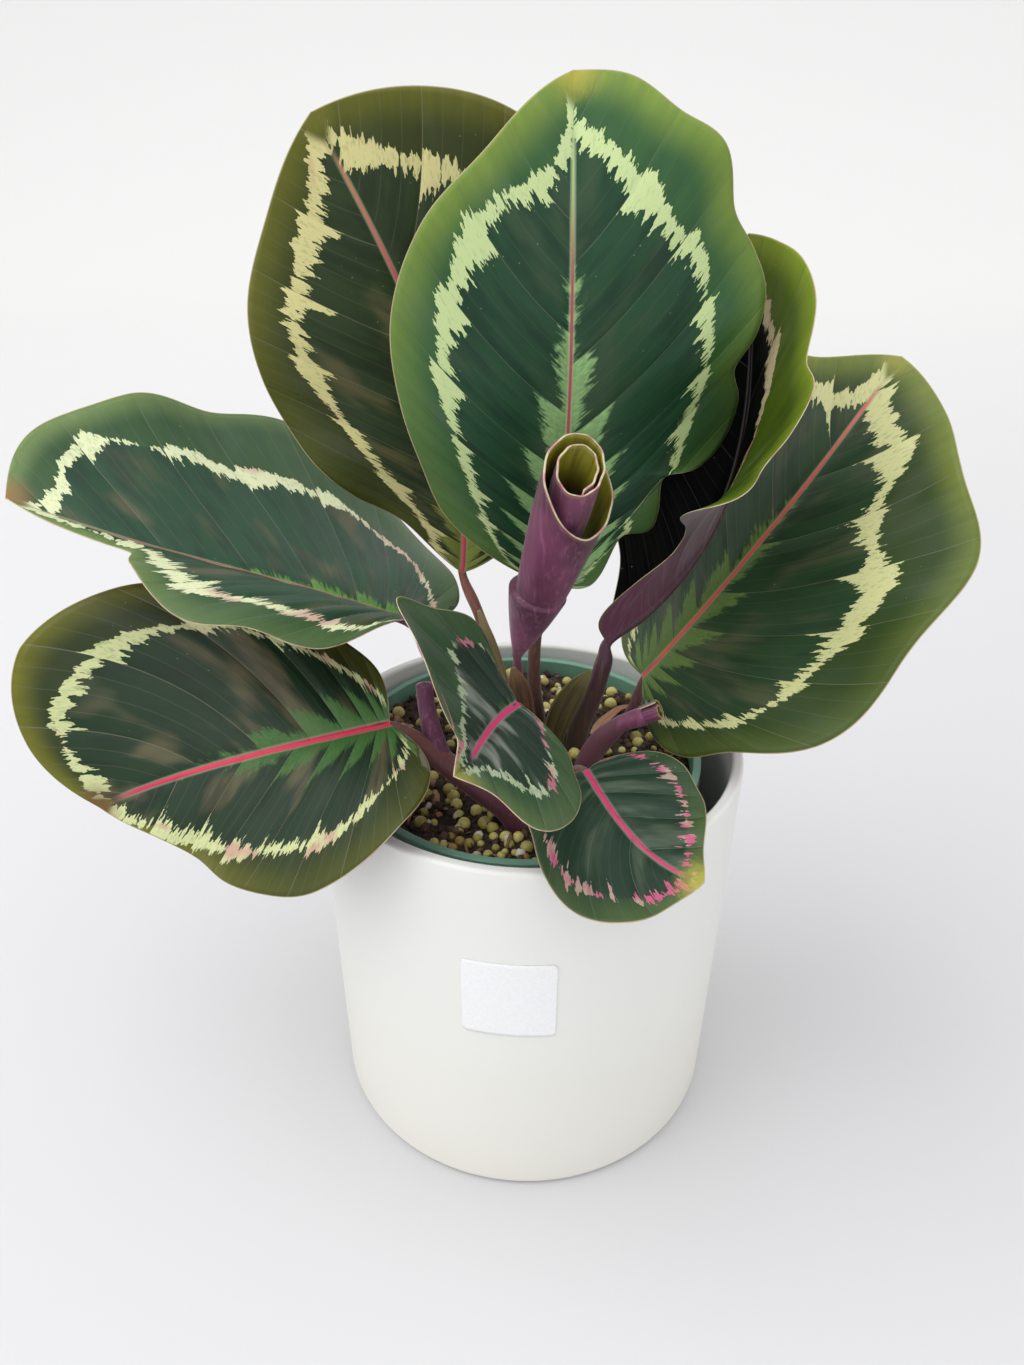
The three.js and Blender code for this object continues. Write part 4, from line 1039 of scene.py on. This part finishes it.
def coverPotPiece():
    pot = coverPot
    foot, lip, floor = pot["footRound"], pot["lipRound"], pot["floor"]
    base, rim, lipFoot = pot["baseRadius"], pot["rimRadius"], pot["height"] - lip
    inner = base - pot["wall"]
    middle = 30
    edge = np.linspace(0, 1, 12)[1:-1]
    profile = [
        (0, 0), (middle, 0), (base - foot - 1, 0), *arc((base - foot, foot), foot, -90, 0),
        *zip(base + (rim - base) * edge, foot + (lipFoot - foot) * edge),
        *arc((rim - lip, lipFoot), lip, 0, 90), *arc((rim - pot["wall"] + lip, lipFoot), lip, 90, 180),
        (inner, floor + foot), *arc((inner - foot, floor + foot), foot, 0, -90), (middle, floor), (0, floor),
    ]
    points, faces = latheBody(profile, pot["segments"])
    shader = Shader("cover_glaze")
    where = shader.place()
    soft = shader.noise(where, 9, 2.0)
    grain = shader.noise(where, 900, 2.0)
    x, y, z = shader.parts(where)
    colour = shader.blend(soft, tone(234, 235, 230), tone(228, 229, 223))
    # Painted shade: the glaze turns warmer and darker over the lowest 90 mm, towards the foot
    colour = shader.blend(shader.rise(z, 0.09, 0.0) * 0.6, colour, tone(229, 225, 214))
    normal = shader.bump(soft * 2 + grain * 0.15, 0.0003, 0.35)
    glaze = shader.surface({
        "Base Color": colour, "Roughness": 0.42 + 0.08 * grain, "Normal": normal,
        "Coat Weight": 0.15, "Coat Roughness": 0.3,
    })
    makePiece("cover_pot_turned", points, faces, [glaze], ["cover_pot"])


coverPotPiece()

# The nursery pot: a thin tapered pot with a band round its rim and drain holes in its floor
nurseryPot = {
    "height": 114, "rimRadius": 54, "baseRadius": 44, "wall": 1.2, "floor": 1.6,
    "bandHeight": 9, "bandStep": 1.2, "tilt": 2.2, "centre": (-2, 7.5), "segments": 200,
    "drainHoles": 6, "drainRadius": 4.5, "drainRing": 30, "drillSides": 32, "drillSpan": (-4, 6),
}


def nurseryRadius(height):
    top = nurseryPot["rimRadius"] - nurseryPot["bandStep"]
    return nurseryPot["baseRadius"] + (top - nurseryPot["baseRadius"]) * height / nurseryPot["height"]


def nurseryPlace(points):  # the nursery pot leans on the front edge of its base
    tilt = math.radians(nurseryPot["tilt"])
    x, y, z = np.moveaxis(np.asarray(points, float), -1, 0)
    lift = coverPot["floor"] + 0.3 + nurseryPot["baseRadius"] * math.sin(tilt)
    forward = y * math.cos(tilt) - z * math.sin(tilt)
    upward = y * math.sin(tilt) + z * math.cos(tilt)
    centre = nurseryPot["centre"]
    return np.stack([x + centre[0], forward + centre[1], upward + lift], -1)


def nurseryPotPiece():
    pot = nurseryPot
    top, bandFoot = pot["height"], pot["height"] - pot["bandHeight"]
    rim, inner = pot["rimRadius"], nurseryRadius(pot["height"]) - pot["wall"]
    profile = [
        (0, 0), (nurseryRadius(0) - 0.5, 0), (nurseryRadius(0.5), 0.5), (nurseryRadius(bandFoot), bandFoot),
        (nurseryRadius(bandFoot) + pot["bandStep"], bandFoot + 1), (rim - 0.1, bandFoot + 1.2),
        *arc((rim - 0.4, top - 0.4), 0.4, 0, 90, 5), *arc((inner + 0.4, top - 0.4), 0.4, 90, 180, 5),
        (nurseryRadius(pot["floor"] + 0.5) - pot["wall"], pot["floor"] + 0.5),
        (nurseryRadius(pot["floor"]) - pot["wall"] - 0.5, pot["floor"]), (0, pot["floor"]),
    ]
    points, faces = latheBody(profile, pot["segments"])
    shader = Shader("nursery_plastic")
    where = shader.place()
    grain = shader.noise(where, 700, 2.0)
    dust = shader.rise(shader.noise(where, 90, 3.0), 0.5, 0.7)
    base = shader.blend(dust * 0.35, tone(112, 158, 136), tone(92, 112, 96))
    normal = shader.bump(grain, 0.0001, 0.4)
    plastic = shader.surface({"Base Color": base, "Roughness": 0.4, "Normal": normal})
    piece = makePiece("nursery_pot_turned", nurseryPlace(points), faces, [plastic], ["nursery_pot"])
    sides = pot["drillSides"]
    angle = 2 * np.pi * np.arange(pot["drainHoles"]) / pot["drainHoles"]
    around = np.linspace(0, 2 * np.pi, sides, endpoint=False)
    ring = np.stack([np.cos(around), np.sin(around), 0 * around], -1) * pot["drainRadius"]
    centres = np.stack([np.cos(angle), np.sin(angle), 0 * angle], -1) * pot["drainRing"]
    drills = centres[:, None, None] + np.stack([ring + (0, 0, z) for z in pot["drillSpan"]])[None]
    drillFaces = []
    for first in range(0, 2 * sides * pot["drainHoles"], 2 * sides):
        body = gridFaces(2, sides, first, around=True).tolist()
        low, high = list(range(first, first + sides)), list(range(first + sides, first + 2 * sides))
        drillFaces += [*body, low[::-1], high]
    mesh = bpy.data.meshes.new("drills")
    mesh.from_pydata((nurseryPlace(drills.reshape(-1, 3)) * mm).tolist(), [], drillFaces)
    drill = bpy.data.objects.new("drills", mesh)
    bpy.context.scene.collection.objects.link(drill)
    cut = piece.modifiers.new("holes", "BOOLEAN")
    cut.operation = "DIFFERENCE"
    cut.object = drill
    bpy.context.view_layer.update()
    evaluated = piece.evaluated_get(bpy.context.evaluated_depsgraph_get())
    cutMesh = bpy.data.meshes.new_from_object(evaluated)
    piece.modifiers.clear()
    piece.data = cutMesh
    bpy.data.objects.remove(drill)


nurseryPotPiece()

# The label, bent round the cover pot's front
label = {"width": 26, "height": 27, "thickness": 0.3, "bottom": 67, "turn": -4, "gap": 0.05, "corner": 1.2}


def labelPiece():
    share = np.concatenate([0.06 * (1 - np.cos(np.linspace(0, np.pi / 2, 10))), np.linspace(0.08, 0.92, 22)])
    share = np.concatenate([share, 1 - share[9::-1]])[:, None]
    near = np.minimum(share, 1 - share) * label["width"]
    corner = label["corner"]
    inset = corner - np.sqrt(np.maximum(corner**2 - np.maximum(corner - near, 0) ** 2, 0))
    height = label["bottom"] + inset + (label["height"] - 2 * inset) * np.linspace(0, 1, 24)[None, :]
    low, high = coverPot["baseRadius"], coverPot["rimRadius"]
    radius = low + (high - low) * height / coverPot["height"] + label["gap"] + label["thickness"] / 2
    angle = math.radians(label["turn"] - 90) + label["width"] / radius * (share - 0.5)
    points = np.stack([radius * np.cos(angle), radius * np.sin(angle), height], -1)
    normals = -gridNormals(points)
    body, faces, slots = sheetBody(points, normals, label["thickness"] / 2)
    shader = Shader("label_paper")
    where = shader.place()
    fibre = shader.noise(where, 1500, 3.0)
    base = shader.blend(shader.rise(fibre, 0.3, 0.7), tone(243, 243, 243), tone(236, 237, 238))
    paper = shader.surface({"Base Color": base, "Roughness": 0.5, "Normal": shader.bump(fibre, 0.00005, 0.4)})
    makePiece("label_sheet", body, faces[:, ::-1], [paper], ["blank_label"])


labelPiece()
print("pots and label: built")

# The soil fills the nursery pot to its depth below the rim, with a gap at the wall
soilShape = {"depth": 4, "rings": 96, "sectors": 200, "gap": 0.3}


def soilHeight(x, y):
    hills = 0.7 * np.sin(0.19 * x + 1.3) * np.cos(0.16 * y - 0.4) + 0.5 * np.sin(0.41 * x - 0.33 * y)
    crumbs = 0.35 * np.sin(0.93 * x + 0.7 * y + 2) * np.sin(0.81 * y - 0.55 * x)
    return nurseryPot["height"] - soilShape["depth"] + hills + crumbs


def soilSkin():
    shader = Shader("soil_skin")
    where = shader.place()
    slow = shader.noise(where, 120, 3.0)
    grit = shader.noise(where, 900, 4.0, 0.7)
    base = shader.blend(shader.rise(slow, 0.35, 0.65), tone(44, 33, 26), tone(66, 50, 40))
    base = shader.blend(shader.rise(grit, 0.56, 0.66), base, tone(112, 86, 62))
    return shader.surface({"Base Color": base, "Roughness": 0.85, "Normal": shader.bump(grit, 0.0014, 1.0)})


def soilPiece():
    rings, sectors = soilShape["rings"], soilShape["sectors"]
    edgeHeight = nurseryPot["height"] - soilShape["depth"]
    foot = nurseryPot["floor"] + soilShape["gap"]
    inside = nurseryPot["wall"] + soilShape["gap"]
    topRadius = nurseryRadius(edgeHeight - 2) - inside
    radius = topRadius * np.linspace(0, 1, rings)[:, None]
    angle = np.linspace(0, 2 * np.pi, sectors, endpoint=False)[None, :]
    x, y = radius * np.cos(angle), radius * np.sin(angle)
    rough = roughness2d(x * 0.9 + 90, y * 0.9 + 90, lattice(3))
    rough = rough + 0.5 * roughness2d(x * 2 + 90, y * 2 + 90, lattice(4))
    z = soilHeight(x, y) + 1.1 * (rough - 0.75)
    z = np.where(radius > topRadius * 0.97, edgeHeight - 1.2 + 0.6 * (rough - 0.75), z)
    low = nurseryRadius(foot) - inside
    wall = np.stack(np.broadcast_arrays(low * np.cos(angle), low * np.sin(angle), foot), -1)
    base = wall * np.array([0, 0, 1.0])
    points = np.concatenate([np.stack([x, y, z], -1), wall, base])
    faces = gridFaces(len(points), sectors, around=True)[:, ::-1]
    makePiece("soil_bed", nurseryPlace(points.reshape(-1, 3)), faces, [soilSkin()], ["potting_soil"])


soilPiece()

# What lies on the soil. Sizes are the smallest and largest radius, stretch how long and flat a bit is,
# rough how dented, sink how deep it sits, and front the share that lies at the pot's front.
scatterSets = {
    "prills": {
        "count": 230, "sizes": (1.0, 2.15), "stretch": (1, 1, 0.96), "rough": 0.03, "sink": 0.35,
        "front": 0.66, "seed": 5, "detail": 2,
        "skin": {"dark": (148, 138, 62), "light": (206, 198, 118), "odd": (160, 108, 48), "rough": 0.42},
    },
    "crumbs": {
        "count": 700, "sizes": (0.6, 1.9), "stretch": (1.2, 1, 0.8), "rough": 0.3, "sink": 0.35,
        "front": 0.3, "seed": 11, "detail": 1,
        "skin": {"dark": (36, 27, 21), "light": (84, 62, 46), "odd": (120, 92, 64), "rough": 0.85},
    },
    "bark": {
        "count": 60, "sizes": (0.9, 2.3), "stretch": (1.7, 0.7, 0.28), "rough": 0.2, "sink": 0.3,
        "front": 0.3, "seed": 23, "detail": 1,
        "skin": {"dark": (96, 70, 48), "light": (168, 132, 96), "odd": (60, 44, 34), "rough": 0.7},
    },
    "perlite": {
        "count": 40, "sizes": (0.7, 1.5), "stretch": (1.1, 1, 0.9), "rough": 0.22, "sink": 0.3,
        "front": 0.3, "seed": 31, "detail": 1,
        "skin": {"dark": (190, 182, 162), "light": (226, 220, 206), "odd": (168, 150, 120), "rough": 0.8},
    },
}
scatter = {"reach": 49, "edge": 50, "tries": 6, "frontTurn": -1.95, "frontSpread": 0.42, "stemGap": 0.3}


def stemSpots():  # where stalks and bracts pass the soil, with their radius
    paths = [leaf["stalk"] for leaf in leaves.values()] + [roll["stalk"] for roll in rolls.values()]
    paths += [[station[:4] for station in bract["path"]] for bract in bracts.values()]
    samples = [smoothPath([station[:3] for station in path], np.linspace(0, 1, 25)) for path in paths]
    room = np.repeat([max(station[3] for station in path) for path in paths], 25)
    found = np.concatenate(samples)
    nearSoil = found[:, 2] < 124
    return found[nearSoil], room[nearSoil]


# Scattered bits: each is a small ball bent out of round, turned at random and set into the soil
def scatterPiece(name, bits, material, stems, room):
    random = np.random.default_rng(bits["seed"])
    ball = bmesh.new()
    bmesh.ops.create_icosphere(ball, subdivisions=bits["detail"], radius=1)
    shape = np.array([vertex.co[:] for vertex in ball.verts])
    faces = np.array([[vertex.index for vertex in face.verts] for face in ball.faces])
    ball.free()
    many = bits["count"] * scatter["tries"]
    smallest, largest = bits["sizes"]
    size = smallest + (largest - smallest) * random.random(many) ** 1.1
    reach = scatter["reach"] * np.sqrt(random.random(many))
    inFront = random.random(many) < bits["front"]
    forward = random.normal(scatter["frontTurn"], scatter["frontSpread"], many)
    turn = np.where(inFront, forward, 2 * np.pi * random.random(many))
    x, y = reach * np.cos(turn), reach * np.sin(turn)
    centre = nurseryPlace(np.stack([x, y, soilHeight(x, y) + size * (1 - 2 * bits["sink"])], -1))
    toStem = np.linalg.norm(centre[:, None] - stems[None], axis=-1) - room
    clear = (toStem.min(1) > size + scatter["stemGap"]) & (np.hypot(x, y) + size < scatter["edge"])
    apart = np.linalg.norm(centre[:, None] - centre[None], axis=-1) - 0.85 * (size[:, None] + size[None])
    crowded = (np.tril(apart < 0, -1) & clear[None]).any(1)
    keep = np.flatnonzero(clear & ~crowded)[: bits["count"]]
    spin = random.normal(size=(len(keep), 4))
    a, b, c, d = unit(spin).T
    if name == "bark":  # flat bits lie nearly level
        a, b, c, d = unit(np.stack([a, b * 0.25, c * 0.25, d], -1)).T
    turned = np.stack([
        1 - 2 * (c * c + d * d), 2 * (b * c - a * d), 2 * (b * d + a * c),
        2 * (b * c + a * d), 1 - 2 * (b * b + d * d), 2 * (c * d - a * b),
        2 * (b * d - a * c), 2 * (c * d + a * b), 1 - 2 * (b * b + c * c),
    ], -1).reshape(-1, 3, 3)
    dents = 1 + bits["rough"] * (random.random((len(keep), len(shape), 1)) - 0.5) * 2
    local = shape[None] * dents * np.array(bits["stretch"])
    points = np.einsum("kij,knj->kni", turned, local) * size[keep][:, None, None] + centre[keep][:, None]
    allFaces = faces[None] + len(shape) * np.arange(len(keep))[:, None, None]
    tint = np.repeat(random.random((len(keep), 3)), len(shape), axis=0)
    makePiece(name, points.reshape(-1, 3), allFaces.reshape(-1, 3), [material], layers={"tint": tint})
    return len(keep)


# Skin of the scattered bits: between the dark and the light colour, chosen bit by bit, and a few odd ones
def bitSkin(name, skin):
    shader = Shader(name.rstrip("s") + "_skin")
    pick, oddPick, _ = shader.attribute("tint")
    grain = shader.noise(shader.place(), 1100, 3.0)
    base = shader.blend(pick, tone(*skin["dark"]), tone(*skin["light"]))
    base = shader.blend(shader.rise(oddPick, 0.95, 0.97), base, tone(*skin["odd"]))
    base = shader.blend(shader.rise(grain, 0.5, 0.7) * 0.3, base, tone(*skin["dark"]))
    normal = shader.bump(grain, 0.0003, 0.5)
    return shader.surface({"Base Color": base, "Roughness": skin["rough"], "Normal": normal})


stems, room = stemSpots()
for name, bits in scatterSets.items():
    placed = scatterPiece(name, bits, bitSkin(name, bits["skin"]), stems, room)
    print(name + ":", placed)


# Stage: a pale sheet that lies flat under the pot and sweeps up behind it, and a soft pale surround,
# brighter overhead than in front. Lengths in metres.
stage = {
    "wide": 6.0, "front": -2.5, "back": 1.3, "sweep": 0.9, "top": 3.2,
    # Painted light: near and far give the sheet a painted falloff of light, darker in front and brighter
    # towards the back
    "near": (207, 207, 208), "far": (235, 235, 233),
}
surround = {"overhead": 1.3, "ahead": 0.84, "low": 0.8, "tint": (250, 250, 252)}


def setStage():
    back, sweep = stage["back"], stage["sweep"]
    bend = arc((back, sweep), sweep, -90, 0, 25)
    line = np.array([(stage["front"], 0), *bend, (back + sweep, stage["top"])])
    points = np.concatenate([np.insert(line, 0, side * stage["wide"] / 2, axis=1) for side in (-1, 1)])
    number = np.arange(len(line) - 1)
    faces = np.stack([number, number + len(line), number + len(line) + 1, number + 1], -1)
    mesh = bpy.data.meshes.new("floor")
    mesh.from_pydata(points.tolist(), [], faces.tolist())
    mesh.polygons.foreach_set("use_smooth", np.full(len(faces), True))
    shader = Shader("floor_sheet")
    x, y, z = shader.parts(shader.place())
    # Painted light: the sheet darkens towards the front and brightens towards the back
    base = shader.blend(shader.rise(y, 0.0, 1.6), tone(*stage["near"]), tone(*stage["far"]))
    mesh.materials.append(shader.surface({"Base Color": base, "Roughness": 0.75}))
    floor = bpy.data.objects.new("floor", mesh)
    bpy.context.scene.collection.objects.link(floor)


def setSurround():
    sky = Shader("surround", bpy.data.worlds)
    x, y, z = sky.parts(sky.node("ShaderNodeTexCoord", None, None, "Generated"))
    power = surround["ahead"] + sky.rise(z, 0.0, 0.9) * (surround["overhead"] - surround["ahead"])
    power = power + sky.rise(z, 0.0, -0.6) * (surround["low"] - surround["ahead"])
    tint = tone(*surround["tint"])
    glow = sky.node("ShaderNodeBackground", None, {"Color": tint, "Strength": power})
    sky.node("ShaderNodeOutputWorld", None, {"Surface": glow})
    bpy.context.scene.world = sky.owner


# Lights: where each stands and what it looks at, in metres, its size and its power in watts
lights = {
    "overhead": {"place": (-0.5, -0.1, 1.2), "aim": (0, 0, 0.15), "size": 1.0, "power": 5.9},
    "window": {"place": (-1.0, -0.7, 0.8), "aim": (0, 0, 0.15), "size": 0.8, "power": 2.3},
}


def setLights():
    for name, light in lights.items():
        data = bpy.data.lights.new(name, "AREA")
        data.size = light["size"]
        data.energy = light["power"]
        place = np.array(light["place"])
        back = unit(place - np.array(light["aim"]))
        right = unit(np.cross((0, 0, 1), back))
        standUp(name, data, place, right, np.cross(back, right), back)


setStage()
setSurround()
setLights()
bpy.context.scene.view_settings.view_transform = "Standard"
print("stage and lights: set")
